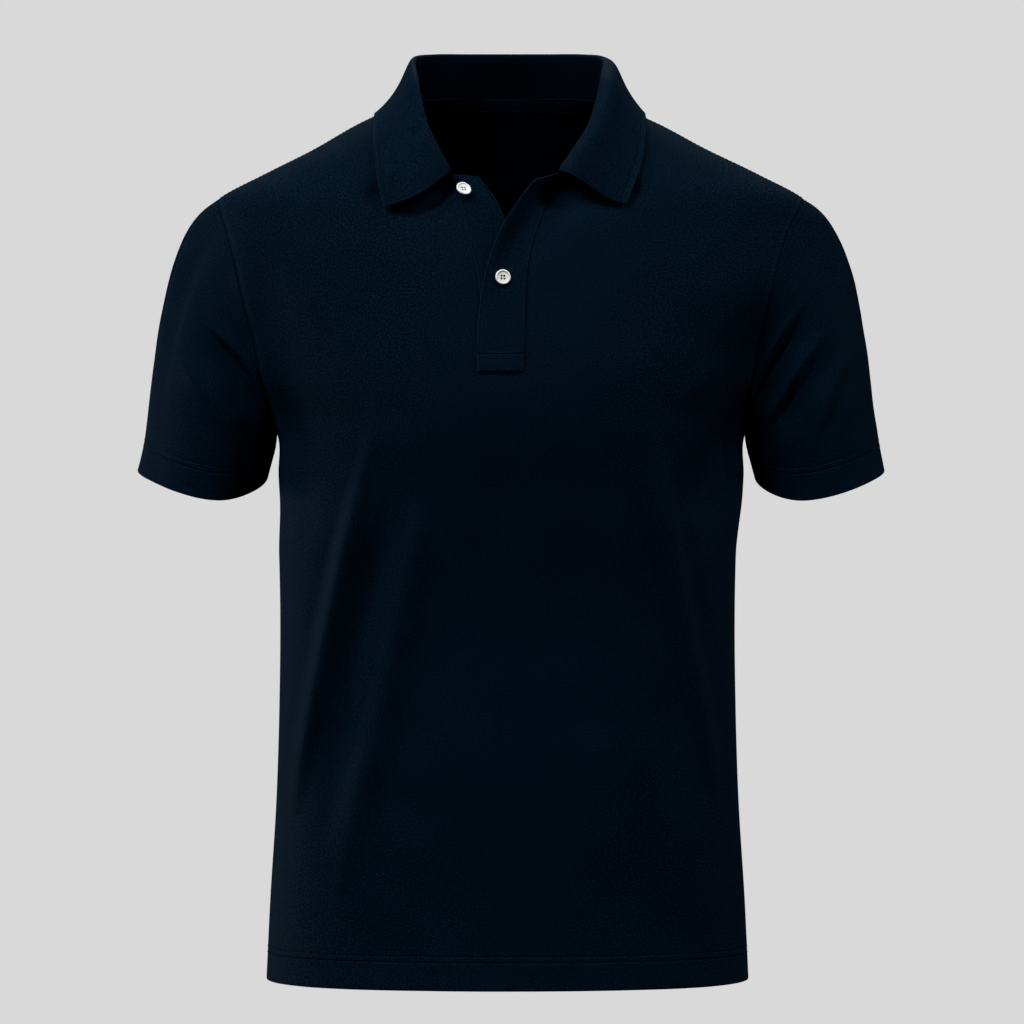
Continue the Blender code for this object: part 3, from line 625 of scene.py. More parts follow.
BACK_FOLDS = [
    (-0.128, -0.255, -0.140, -0.395, -0.176, -0.575, 0.0135, 0.0056),
    (-0.104, -0.290, -0.112, -0.405, -0.142, -0.560, 0.0165, -0.0045),
    (0.124, -0.262, 0.142, -0.405, 0.172, -0.590, 0.0145, 0.0058),
    (0.098, -0.300, 0.112, -0.415, 0.145, -0.560, 0.0175, -0.0042),
    (-0.060, -0.470, 0.010, -0.500, 0.075, -0.480, 0.0200, -0.0036),
    (-0.126, -0.265, -0.137, -0.390, -0.170, -0.545, 0.0065, 0.0012),
    (0.122, -0.275, 0.138, -0.400, 0.168, -0.560, 0.0060, 0.0011),
    (-0.090, -0.430, -0.020, -0.455, 0.060, -0.440, 0.0140, 0.0024),
    (-0.030, -0.540, 0.020, -0.552, 0.090, -0.530, 0.0150, 0.0020),
    (0.010, -0.060, 0.030, -0.160, 0.020, -0.260, 0.0300, -0.0018),
    (-0.198, -0.100, -0.184, -0.235, -0.150, -0.370, 0.0210, -0.0090),
    (0.202, -0.110, 0.184, -0.235, 0.150, -0.365, 0.0200, -0.0085),
    (-0.150, -0.205, -0.130, -0.235, -0.100, -0.250, 0.0090, 0.0015),
    (0.160, -0.212, 0.140, -0.232, 0.112, -0.240, 0.0080, 0.0013),
]
RIGHT_SLEEVE_FOLDS = [
    (-0.253, -0.190, -0.221, -0.222, -0.198, -0.268, 0.0110, -0.0036),
    (-0.250, -0.182, -0.212, -0.217, -0.187, -0.272, 0.0032, -0.0050),
    (-0.243, -0.178, -0.207, -0.213, -0.183, -0.266, 0.0050, 0.0032),
    (-0.272, -0.205, -0.240, -0.238, -0.204, -0.286, 0.0110, 0.0022),
    (-0.270, -0.206, -0.256, -0.225, -0.244, -0.252, 0.0055, 0.0012),
    (-0.360, -0.270, -0.255, -0.320, -0.150, -0.340, 0.0560, -0.0095),
]
LEFT_SLEEVE_FOLDS = [
    (0.2420, -0.1650, 0.2065, -0.2107, 0.1800, -0.2720, 0.0029, -0.0042),
    (0.2380, -0.1600, 0.2030, -0.2085, 0.1765, -0.2670, 0.0048, 0.0027),
    (0.2460, -0.1690, 0.2120, -0.2150, 0.1890, -0.2700, 0.0105, -0.0030),
    (0.2550, -0.1840, 0.2220, -0.2280, 0.2000, -0.2720, 0.0055, 0.0030),
    (0.2600, -0.1890, 0.2275, -0.2320, 0.2040, -0.2780, 0.0036, -0.0021),
    (0.2660, -0.1960, 0.2340, -0.2380, 0.2080, -0.2850, 0.0110, -0.0030),
    (0.2760, -0.2000, 0.2610, -0.2320, 0.2420, -0.2820, 0.0065, 0.0018),
    (0.2800, -0.2040, 0.2670, -0.2360, 0.2480, -0.2880, 0.0070, -0.0018),
    (0.2880, -0.2140, 0.2800, -0.2400, 0.2720, -0.2620, 0.0080, 0.0010),
    (0.3600, -0.2700, 0.2550, -0.3200, 0.1500, -0.3400, 0.0560, -0.0080),
]
print("folds:", len(FRONT_FOLDS) + len(BACK_FOLDS) + len(RIGHT_SLEEVE_FOLDS) + len(LEFT_SLEEVE_FOLDS))

# %% Raise the folds
FOLD_STEPS = 60        # steps along a fold's curve in the first search for its nearest place
SEAM_CALM = 0.06       # share of the half width beside a side seam over which folds fade away
STRAIGHT_AHEAD = 0.8   # how much of a fold's lift points straight to the front or back


def smoothly(share):
    """0 up to 0, 1 from 1 on, and a smooth rise between."""
    share = np.clip(share, 0, 1)
    return share**2 * (3 - 2 * share)


def on_curve(t, first, start, bend):
    """Place on a fold's curve, at t from 0 to 1."""
    return first + 2 * t * start + t**2 * bend


def fold_lift(x, z, folds):
    """How far the folds raise or sink the cloth at places (x, z)."""
    lift = np.zeros(np.shape(x))
    steps = np.linspace(0, 1, FOLD_STEPS)
    for x0, z0, x1, z1, x2, z2, half, height in folds:
        start_x, start_z = x1 - x0, z1 - z0
        bend_x, bend_z = x0 - 2 * x1 + x2, z0 - 2 * z1 + z2
        room_x = x[..., None] - on_curve(steps, x0, start_x, bend_x)
        room_z = z[..., None] - on_curve(steps, z0, start_z, bend_z)
        t = steps[np.hypot(room_x, room_z).argmin(-1)]
        for _ in range(2):   # from the nearest step to the nearest place of the curve
            off_x = on_curve(t, x0, start_x, bend_x) - x
            off_z = on_curve(t, z0, start_z, bend_z) - z
            ahead_x, ahead_z = 2 * (start_x + t * bend_x), 2 * (start_z + t * bend_z)
            slope = off_x * ahead_x + off_z * ahead_z
            curve = ahead_x**2 + ahead_z**2 + 2 * (off_x * bend_x + off_z * bend_z)
            t = np.clip(t - np.clip(slope / np.maximum(curve, 1e-6), -1 / FOLD_STEPS, 1 / FOLD_STEPS), 0, 1)
        away = np.hypot(on_curve(t, x0, start_x, bend_x) - x, on_curve(t, z0, start_z, bend_z) - z)
        taper = smoothly(3 * np.minimum(t, 1 - t))
        lift += height * taper * np.exp(-((away / (half * (0.5 + 0.5 * taper))) ** 2))
    return lift


def ripple(x, z):
    """The slight unevenness of cotton in wear, from a few slow waves that never line up."""
    return (0.00035 * np.sin(61 * x + 23 * z + 1.0) * np.sin(17 * z - 9 * x)
            + 0.00025 * np.sin(103 * z + 37 * x) * np.sin(41 * x + 2.0)
            + 0.00012 * np.sin(211 * x - 83 * z) * np.sin(97 * z + 31 * x + 0.7))


def body_points(x, z, side, folds):
    """Points of the cloth's outer face, with the folds, and half a seam clear of the other side."""
    points = np.stack([x, form_y(x, z, side), z], -1)
    fade = smoothly((1 - np.abs(x) / half_width(z)) / SEAM_CALM)
    lift = fold_lift(x, z, folds) + ripple(x, z)
    ahead = unit(form_normal(x, z, side) + np.array([0, side * STRAIGHT_AHEAD, 0]))
    points += ahead * (lift * fade)[..., None]
    points[..., 1] += side * SEAM / 2
    return points


print("fold at the armpit:", round(float(fold_lift(np.array([-0.14]), np.array([-0.38]), FRONT_FOLDS)[0]), 4))

# %% [markdown]
# ## Cloth as a wall
# A single sheet of faces has no edge to look at. Each piece here is a closed wall: the grid of points,
# the same grid moved in by the cloth's thickness, and a rim round every free edge. Where an edge is
# folded, the two faces draw together over the last millimetre, so the edge is round and catches light.

# %% Make a wall of cloth
DRAWN_IN = 0.85        # how far the two faces of a folded edge draw together, as a share of the way
SHARP_ANGLE = math.radians(65)


def grid_normals(points, round_tube=False):
    """Outward directions of a grid whose columns run to the right and rows run up, seen from outside."""
    if round_tube:
        across = np.roll(points, -1, 1) - np.roll(points, 1, 1)
    else:
        across = np.gradient(points, axis=1)
    return unit(np.cross(across, np.gradient(points, axis=0)))


def swayed(points):
    """The points, with the shoulders and sleeves moved a little to the wearer's left."""
    share_x = (np.abs(points[..., 0]) - SWAY_START_X) / (SWAY_FULL_X - SWAY_START_X)
    share_z = (points[..., 2] - SWAY_START_Z) / (SWAY_FULL_Z - SWAY_START_Z)
    moved = points.copy()
    moved[..., 0] += SWAY * smoothly(share_x) * smoothly(share_z)
    return moved


def grid_faces(rows, columns, round_tube, kept):
    """Quads of both faces of a wall and of its rim, as numbers of points."""
    quads = round_quads(np.arange(rows * columns).reshape(rows, columns))
    if not round_tube:
        quads = quads[:, :-1]
    quads = quads[kept] if kept is not None else quads.reshape(-1, 4)
    edges = np.concatenate([quads[:, [i, (i + 1) % 4]] for i in range(4)])
    known = set(map(tuple, edges.tolist()))
    free = np.array([(a, b) for a, b in known if (b, a) not in known])
    free = free[np.lexsort(free.T)]
    shift = rows * columns
    rim = np.stack([free[:, 1], free[:, 0], free[:, 0] + shift, free[:, 1] + shift], -1)
    return quads, quads[:, [0, 3, 2, 1]] + shift, rim


def keep_on_points(mesh, name, values):
    """Keep three numbers on each point of a mesh, for its material to read."""
    mesh.attributes.new(name, "FLOAT_VECTOR", "POINT").data.foreach_set("vector", np.ravel(values))


def dress(piece, node=None):
    """Let a piece ride on the shirt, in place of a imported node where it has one."""
    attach(piece, "root")
    if node is not None:
        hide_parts(node)


def add_wall(name, outer, thickness, finishes, coords, node,
             round_tube=False, kept=None, normals=None, edge_room=None, seams=None):
    """A closed wall of cloth, from the grid of its outer face. edge_room is the distance to a folded edge."""
    rows, columns = outer.shape[:2]
    normals = grid_normals(outer, round_tube) if normals is None else normals
    thickness = np.broadcast_to(np.asarray(thickness, float), (rows, columns, 1))
    drawn_in = 0.0
    if edge_room is not None:
        half = thickness[..., 0] / 2
        near = np.clip(1 - edge_room / half, 0, 1)
        drawn_in = (DRAWN_IN * half * (1 - np.sqrt(1 - near**2)))[..., None]
    face_out = outer - normals * drawn_in
    face_in = outer - normals * (thickness - drawn_in)
    points = swayed(np.concatenate([face_out, face_in])).reshape(-1, 3)
    outside, inside, rim = grid_faces(rows, columns, round_tube, kept)
    faces = np.concatenate([outside, inside, rim])
    used, numbers = np.unique(faces, return_inverse=True)
    mesh = bpy.data.meshes.new(name)
    mesh.from_pydata(points[used].tolist(), [], numbers.reshape(-1, 4).tolist())
    for key, values in (("cloth", coords), ("seams", seams)):
        if values is None:
            values = np.ones((rows, columns, 3))
        keep_on_points(mesh, key, np.concatenate([values, values]).reshape(-1, 3)[used])
    for finish in finishes:
        mesh.materials.append(finish)
    slots = np.zeros(len(faces), np.int32)
    slots[len(outside):len(outside) + len(inside)] = len(finishes) - 1
    mesh.polygons.foreach_set("material_index", slots)
    mesh.shade_smooth()
    mesh.set_sharp_from_angle(angle=SHARP_ANGLE)
    piece = add_object(name, mesh)
    dress(piece, node)
    area = sum(polygon.area for polygon in mesh.polygons) / 2
    print(f"{name}: {len(faces)} faces, {area:.4f} square metres of cloth")
    return piece


print("folded edges draw in by", DRAWN_IN, "of half the cloth")

# %% [markdown]
# ## Where things lie on the cloth
# The knit's cells need the cloth's flat coordinates: how far a point lies from the middle, measured
# round the body, and how far above the hem. Seams need another measure, the distance to the seam's
# line. Both are worked out once for each point and kept with the mesh.

# %% Measure along the cloth
FLAT_STEPS = np.sin(np.linspace(0, math.pi / 2, 40))   # shares of the way out from the middle
BATCH = 4000           # points measured at a time, to save memory


def lengths_along(points, axis):
    """Distance along each row or column of a grid, from its start."""
    steps = np.linalg.norm(np.diff(points, axis=axis), axis=-1)
    start = np.zeros_like(np.take(steps, [0], axis))
    return np.concatenate([start, np.cumsum(steps, axis)], axis)


def flat_coords(x, z, side):
    """Distance round the body from the middle, and up from the hem, at each point of a panel."""
    level = x[..., None] * FLAT_STEPS
    depth = form_y(level, z[..., None] + 0 * FLAT_STEPS, side)
    round_body = np.hypot(np.diff(level), np.diff(depth)).sum(-1) * np.sign(x)
    return np.stack([round_body, z - HEM_Z, 0 * z], -1)


def room_to(line, points):
    """Distance from each point to a line of points."""
    start, step = line[:-1], np.diff(line, axis=0)
    flat = points.reshape(-1, 1, 3)
    nearest = np.empty(len(flat))
    for first in range(0, len(flat), BATCH):
        some = flat[first:first + BATCH]
        share = ((some - start) * step).sum(-1) / np.maximum((step**2).sum(-1), 1e-12)
        away = some - start - np.clip(share, 0, 1)[..., None] * step
        nearest[first:first + BATCH] = np.linalg.norm(away, axis=-1).min(-1)
    return nearest.reshape(points.shape[:-1])


def level_line(points, normals, room, level):
    """Follow one value of a measure across a grid, looking along each of its columns."""
    found, facing = [], []
    for c in range(points.shape[1]):
        crossing = np.flatnonzero(np.diff(np.sign(room[:, c] - level)))
        if len(crossing):
            r = crossing[0]
            share = (level - room[r, c]) / (room[r + 1, c] - room[r, c])
            found.append(points[r, c] + share * (points[r + 1, c] - points[r, c]))
            facing.append(normals[r, c] + share * (normals[r + 1, c] - normals[r, c]))
    return np.array(found), unit(np.array(facing))


print("measures: lengths_along, flat_coords, room_to, level_line")

# %% [markdown]
# ## Stitches
# A row of machine stitches is a dotted line of short threads, each a little sunk at its ends. One
# texture could draw them, but they would have no height. They are small: six sides and four rings each
# are enough, and all the stitches of a seam are joined in one mesh.

# %% Make rows of stitches
STITCH = 0.0026
STITCH_GAP = 0.0009
STITCH_RADIUS = 0.00026
STITCH_RINGS = ((-0.5, 0.45), (-0.3, 1.0), (0.3, 1.0), (0.5, 0.45))   # place along it, share of the radius
STITCH_SIDES = 6
THREAD_RISE = 0.0006   # flat coordinates of a stitch's points, along it and round it
THREAD_STEP = 0.0002
STITCH_DIP = 5.2       # how far its ends sink, in radii at a whole length from its middle
A_LITTLE = 0.0004      # the line's direction is read this far before and behind a stitch


def stitch_rings(middle, ahead, facing, length, radius):
    """Points of one stitch: rings round its thread, which dips at both ends."""
    beside = np.cross(facing, ahead)
    rings = []
    for along, size in STITCH_RINGS:
        centre = middle + ahead * along * length + facing * radius * (0.5 - STITCH_DIP * along**2)
        for turn in range(STITCH_SIDES):
            angle = turn * math.pi / 3
            rings.append(centre + radius * size * (math.cos(angle) * facing + math.sin(angle) * beside))
    return rings


def read_line(at, room, line):
    """Places on a line of points, at distances along it."""
    return np.stack([np.interp(at, room, line[:, i]) for i in range(3)], -1)


def add_stitches(name, lines, length=STITCH, radius=STITCH_RADIUS):
    """Rows of stitches along lines, each given as its points and the directions off the cloth."""
    number = np.arange(len(STITCH_RINGS) * STITCH_SIDES).reshape(-1, STITCH_SIDES)
    sides = round_quads(number).reshape(-1, 4)
    flat = [(ring * THREAD_RISE, turn * THREAD_STEP, 0)
            for ring in range(len(STITCH_RINGS)) for turn in range(STITCH_SIDES)]
    points, faces, coords = [], [], []
    for line, facing in lines:
        room = lengths_along(line[None], 1)[0]
        count = max(1, int(room[-1] / (length + STITCH_GAP)))
        middles = (np.arange(count) + 0.5) * room[-1] / count
        places, outs = read_line(middles, room, line), read_line(middles, room, facing)
        steps = read_line(middles + A_LITTLE, room, line) - read_line(middles - A_LITTLE, room, line)
        for middle, ahead, out in zip(places, steps, outs):
            ahead = ahead / np.linalg.norm(ahead)
            out = out - ahead * (out @ ahead)
            out = out / np.linalg.norm(out)
            first = len(points)
            points += stitch_rings(middle, ahead, out, length, radius)
            coords += flat
            faces += (sides + first).tolist()
            faces += [(number[0, ::-1] + first).tolist(), (number[-1] + first).tolist()]
    mesh = bpy.data.meshes.new(name)
    mesh.from_pydata(swayed(np.array(points)).tolist(), [], faces)
    keep_on_points(mesh, "cloth", coords)
    mesh.materials.append(thread)
    mesh.shade_smooth()
    dress(add_object(name, mesh))
    print(name + ":", len(points) // number.size, "stitches")


print("stitches are", STITCH * 1000, "mm long")

# %% [markdown]
# ## The front and back panels
# A panel is laid out like its paper pattern. Its columns start at the side seam and armhole and end at
# the middle, and its rows are level up to the bottom of the placket slit. Above that they bend, so that
# the last row is the shoulder seam and the neckline. The rows crowd at the hem, where the cloth is
# doubled, and the columns crowd at the armhole, where the seam's edge is pressed flat.

# %% Lay out a panel
SIDE_COLUMNS = 52
NECK_COLUMNS = 32
SEAM_COLUMNS = 20      # columns near enough to an armhole to show its seam
SLIT_COLUMNS = 12
TORSO_ROWS = 130
UNDERARM_ROWS = 16
UPPER_ROWS = 90
HEM_STEPS = (0.0, 0.00022, 0.0006, 0.0011, 0.0022, 0.005, 0.009, 0.013, 0.017, 0.0195, 0.0208, 0.0218,
             0.0228, 0.0240, 0.0255, 0.0270, 0.0285)
TORSO_START = 0.031    # height above the hem where the even rows begin
UNDERARM_CROWDING = 1.6
SHOULDER_CROWDING = 1.2
NECK_CROWDING = 1.4
LEVEL_ROWS = len(HEM_STEPS) + TORSO_ROWS + UNDERARM_ROWS
UNDERARM_ROW = len(HEM_STEPS) + TORSO_ROWS - 1


def body_levels():
    """Heights of the level rows: hem, torso and the turn of the underarm."""
    torso = np.linspace(HEM_Z + TORSO_START, UNDERARM_Z, TORSO_ROWS)
    turn = (np.arange(1, UNDERARM_ROWS + 1) / UNDERARM_ROWS) ** UNDERARM_CROWDING
    return np.concatenate([HEM_Z + np.array(HEM_STEPS), torso, UNDERARM_Z + (SLIT_Z - UNDERARM_Z) * turn])


def neckline_shares(crowded):
    """Shares of the neckline at its columns, crowded towards the high shoulder point in front."""
    return np.linspace(0, 1, NECK_COLUMNS + 1) ** (NECK_CROWDING if crowded else 1.0)


def top_edge(neckline, crowded):
    """The panel's top edge from the shoulder point to the end of the neckline, as x and z."""
    shoulder = np.linspace(0, 1, SIDE_COLUMNS + 1) ** SHOULDER_CROWDING
    shoulder_x = SHOULDER_X + (NECK_X - SHOULDER_X) * shoulder
    shoulder_z = ridge_z(shoulder_x)
    shoulder_z[-1] = 0.0
    rows = np.array(neckline)
    count = np.arange(len(neckline))
    station = count[-1] * neckline_shares(crowded)[1:]
    neck_x = smooth(station, count, rows[:, 0])
    neck_z = smooth(station, count, rows[:, 1])
    return np.concatenate([shoulder_x, neck_x]), np.concatenate([shoulder_z, neck_z])


def half_panel(neckline, crowded, armhole_x, inner_x):
    """x and z of one half, seen with x positive: columns run from the side seam to the inner edge."""
    share = np.linspace(0, 1, SIDE_COLUMNS + NECK_COLUMNS + 1)
    spread = 1 - np.cos(share * np.pi / 2)
    levels = body_levels()[:, None]
    outer_x = np.where(levels > UNDERARM_Z, armhole_x(levels), half_width(levels))
    low_x = outer_x + (inner_x(levels) - outer_x) * spread
    low_z = levels + 0 * share
    top_x, top_z = top_edge(neckline, crowded)
    rise = 1 - (1 - np.arange(1, UPPER_ROWS + 1)[:, None] / UPPER_ROWS) ** 2
    high_z = SLIT_Z + (top_z - SLIT_Z) * rise
    high_x = low_x[-1] + (top_x - low_x[-1]) * rise
    outer_bow = armhole_x(high_z[:, :1]) - high_x[:, :1]
    inner_bow = inner_x(high_z[:, -1:]) - high_x[:, -1:]
    high_x += outer_bow * (1 - share) ** 2 + inner_bow * share**2
    return np.concatenate([low_x, high_x]), np.concatenate([low_z, high_z])


print("rows:", LEVEL_ROWS + UPPER_ROWS, "columns in a half:", SIDE_COLUMNS + NECK_COLUMNS + 1)

# %% Seams of a panel
ARMHOLE_START = UNDERARM_ROW - 6       # rows from here up can lie near an armhole
SHOULDER_ROWS = 24                     # and this many below the top near a shoulder seam
HEM_INSIDE = 0.021                     # height of the raw edge inside the turned hem
HEM_INSIDE_SLOPE = 0.004               # over which the cloth thins to one layer


def seam_normals(points):
    """Normals of a panel, kept level with the seam plane along the side and shoulder seams."""
    normals = grid_normals(points)
    normals[:UNDERARM_ROW + 1, [0, -1], 1] = 0
    normals[-1, :SIDE_COLUMNS + 1, 1] = 0
    normals[-1, -1 - SIDE_COLUMNS:, 1] = 0
    return unit(normals)


def panel_seams(points):
    """Distances from each point to the hem, to the nearer armhole and to the nearer shoulder seam."""
    armhole, shoulder = np.ones((2,) + points.shape[:2])
    for near, edge in ((slice(0, SEAM_COLUMNS), 0), (slice(-SEAM_COLUMNS, None), -1)):
        armhole[ARMHOLE_START:, near] = room_to(points[UNDERARM_ROW:, edge], points[ARMHOLE_START:, near])
    for near, seam in ((slice(0, SIDE_COLUMNS + 2), slice(0, SIDE_COLUMNS + 1)),
                       (slice(-SIDE_COLUMNS - 2, None), slice(-SIDE_COLUMNS - 1, None))):
        shoulder[-SHOULDER_ROWS:, near] = room_to(points[-1, seam], points[-SHOULDER_ROWS:, near])
    return np.stack([points[..., 2] - HEM_Z, armhole, shoulder], -1)


def hem_thickness(height):
    """One layer of pique, and two at the turned hem."""
    return CLOTH + (HEM_CLOTH - CLOTH) * (1 - smoothly((height - HEM_INSIDE) / HEM_INSIDE_SLOPE))


def add_panel(node, x, z, side, folds, slit=None):
    """A panel's cloth, left open above a row and between two columns where slit gives them."""
    points = body_points(x, z, side, folds)
    normals = seam_normals(points)
    kept = np.ones((x.shape[0] - 1, x.shape[1] - 1), bool)
    if slit is not None:
        row, left, right = slit
        kept[row:, left:right] = False
        normals[row:, left] = normals[row:, left - 1]
        normals[row:, right] = normals[row:, right + 1]
    seams = panel_seams(points)
    piece = add_wall(node + "_cloth", points, hem_thickness(points[..., 2:] - HEM_Z), (pique, inside_pique_painted_shade),
                     flat_coords(x, z, side), node, kept=kept, normals=normals,
                     edge_room=seams[..., 0], seams=seams)
    return piece, points, normals, seams


print("a hem is", HEM_CLOTH * 1000, "mm thick")

# %% Make the front
def add_front():
    rows = np.array(FRONT_NECKLINE)
    _, left_end, right_end = SLIT[-1]
    sides = ((-1, left_end, slit_left, armhole_right), (1, right_end, slit_right, armhole_left))
    halves = []
    for side, end, edge, armhole_x in sides:
        reach = (NECK_X - abs(end)) / (NECK_X - rows[-1, 0])
        neckline = np.stack([NECK_X - (NECK_X - rows[:, 0]) * reach, rows[:, 1]], -1)
        halves.append(half_panel(neckline, True, armhole_x, lambda z, edge=edge, side=side: side * edge(z)))
    (left_x, left_z), (right_x, right_z) = halves
    share = np.linspace(0, 1, SLIT_COLUMNS + 1)[1:-1]
    middle_x = -left_x[:, -1:] + (right_x[:, -1:] + left_x[:, -1:]) * share
    middle_z = left_z[:, -1:] + (right_z[:, -1:] - left_z[:, -1:]) * share
    x = np.concatenate([-left_x, middle_x, right_x[:, ::-1]], 1)
    z = np.concatenate([left_z, middle_z, right_z[:, ::-1]], 1)
    left = left_x.shape[1] - 1
    return add_panel("front", x, z, -1, FRONT_FOLDS, slit=(LEVEL_ROWS - 1, left, left + SLIT_COLUMNS))


front_cloth, front, front_normals, front_seams = add_front()
print("the front stands", round(float(-front[..., 1].min()), 3), "m before the middle")

# %% Make the back
def add_back():
    share = np.linspace(0, 1, NECK_COLUMNS + 1)
    neck_x = NECK_X * np.cos(share * np.pi / 2)
    neckline = np.stack([neck_x, BACK_NECK_Z * (1 - (neck_x / NECK_X) ** 4)], -1)
    left_x, left_z = half_panel(neckline, False, armhole_left, lambda z: 0 * z)
    right_x, right_z = half_panel(neckline, False, armhole_right, lambda z: 0 * z)
    x = np.concatenate([left_x, -right_x[:, -2::-1]], 1)
    z = np.concatenate([left_z, right_z[:, -2::-1]], 1)
    return add_panel("back", x, z, 1, BACK_FOLDS)


back_cloth, back, back_normals, back_seams = add_back()
print("the back stands", round(float(back[..., 1].max()), 3), "m behind it")

# %% [markdown]
# Inside, the two side seams are overlocked: their raw edges are held together in a narrow band that lies
# flat against the cloth. It also closes the hair-wide gap between front and back.

# %% Make the side seam allowances
ALLOWANCE = 0.010
ALLOWANCE_CLOTH = 0.0009
ALLOWANCE_ROWS = 60
ALLOWANCE_COLUMNS = 7


def add_allowance(name, sign):
    """The band inside one side seam: sign is 1 on the wearer's left."""
    z = np.linspace(HEM_Z + 0.0008, UNDERARM_Z - 0.002, ALLOWANCE_ROWS)[:, None]
    y = sign * np.linspace(-ALLOWANCE / 2, ALLOWANCE / 2, ALLOWANCE_COLUMNS)
    inside = hem_thickness(z - HEM_Z) + SEAM
    x, y, z = np.broadcast_arrays(sign * (half_width(z) - inside), y, z)
    return add_wall(name, np.stack([x, y, z], -1), ALLOWANCE_CLOTH, (inside_pique_painted_shade,),
                    np.stack([y, z, 0 * z], -1), None)


left_allowance = add_allowance("side_seam_left", 1)
right_allowance = add_allowance("side_seam_right", -1)

# %% [markdown]
# The panels' stitches follow lines of equal distance: two rows above the hem, one row beside each
# armhole and one in front of each shoulder seam.

# %% Stitch the panels
HEM_ROWS = 24          # rows of a panel's grid that hold its needle rows
panels = ((front, front_normals, front_seams), (back, back_normals, back_seams))


def sideways(grid):
    return grid.swapaxes(0, 1)


def armhole_rows(points, normals, seams):
    rows = slice(UNDERARM_ROW + 4, None)
    return [level_line(sideways(points[rows, near]), sideways(normals[rows, near]),
                       sideways(seams[rows, near, 1]), SEAM_ROW)
            for near in (slice(0, SEAM_COLUMNS), slice(-1, -1 - SEAM_COLUMNS, -1))]


def shoulder_rows(points, normals, seams):
    rows = slice(-1, -SHOULDER_ROWS, -1)
    return [level_line(points[rows, near], normals[rows, near], seams[rows, near, 2], SEAM_ROW)
            for near in (slice(1, SIDE_COLUMNS), slice(-SIDE_COLUMNS, -1))]


add_stitches("hem_stitches", [
    level_line(points[:HEM_ROWS], normals[:HEM_ROWS], seams[:HEM_ROWS, :, 0], level)
    for points, normals, seams in panels for level in NEEDLE_ROWS])
add_stitches("armhole_stitches", [line for panel in panels for line in armhole_rows(*panel)])
add_stitches("shoulder_stitches", shoulder_rows(*panels[0]))

# %% [markdown]
# ## The sleeves
# A sleeve is a tube that leaves the armhole along the body's own surface and arrives at the hem facing
# down and out. A smooth curve through each point of the armhole does both: its two handles set the
# directions, and the shares of their lengths set how soon it turns.

# %% Make the sleeves
CUFF_CENTRE = (0.2507, 0.006, -0.305)  # on the wearer's left
CUFF_HALF_WIDTH = 0.0537
CUFF_HALF_DEPTH = 0.051
CUFF_OUTSIDE_RISE = 0.0035
CUFF_FRONT_DROP = 0.0182
CUFF_SKEW = 0.0040
CUFF_FACES = (0.24, 0.03, -1.0)        # direction in which the sleeve ends
SEAM_STEP = (0.97, 0, -0.24)           # direction of the gap at the armhole seam
CROWN_LEAVES = (0.89, 0, -0.46)        # direction in which the sleeve starts at the shoulder seam,
UNDERARM_LEAVES = (-0.02, 0, -1.0)     # and at the underarm
LEAVE_POWER = 0.8                      # how soon the one gives way to the other
SLEEVE_LEAVE = 0.25
SLEEVE_ARRIVE = 0.36
SLEEVE_RINGS = 120
CUFF_RINGS = 22                        # of these, crowded at the cuff
CUFF_SHARE = 0.80                      # share of the way down where the crowded rings begin
CALM_RINGS = 8                         # rings below the armhole over which folds begin


def sleeve_shares():
    """Shares of the way down a sleeve: even to the cuff, then crowded at its hem."""
    return np.concatenate([np.linspace(0, CUFF_SHARE, SLEEVE_RINGS - CUFF_RINGS),
                           CUFF_SHARE + 0.19 * np.linspace(0, 1, 19)[1:], [0.9935, 0.9965, 0.9988, 1.0]])


def leaving(panel, side, at_end):
    """Directions in which the smooth form, without its folds, crosses the armhole."""
    edge, inner = (panel[:, -1], panel[:, -6]) if at_end else (panel[:, 0], panel[:, 5])
    return np.stack([edge[:, 0] - inner[:, 0],
                     form_y(edge[:, 0], edge[:, 2], side) - form_y(inner[:, 0], inner[:, 2], side),
                     edge[:, 2] - inner[:, 2]], -1)


def armhole_loop(sign, mirror):
    """Points round an armhole, from the underarm up in front and down at the back, and how each leaves it."""
    first = slice(UNDERARM_ROW, None)
    front_edge, back_edge = front[first, -1 if sign > 0 else 0], back[first, 0 if sign > 0 else -1]
    loop = np.concatenate([front_edge, back_edge[-2:0:-1]])
    leave = np.concatenate([leaving(front, -1, sign > 0)[first], leaving(back, 1, sign < 0)[first][-2:0:-1]])
    crown = len(front_edge) - 1
    loop[[0, crown], 1] = 0
    leave[crown] = mirror * CROWN_LEAVES
    height = ((loop[:, 2] - UNDERARM_Z) / (SHOULDER_Z - UNDERARM_Z))[:, None] ** LEAVE_POWER
    return loop, unit(unit(leave) * height + mirror * UNDERARM_LEAVES * (1 - height))


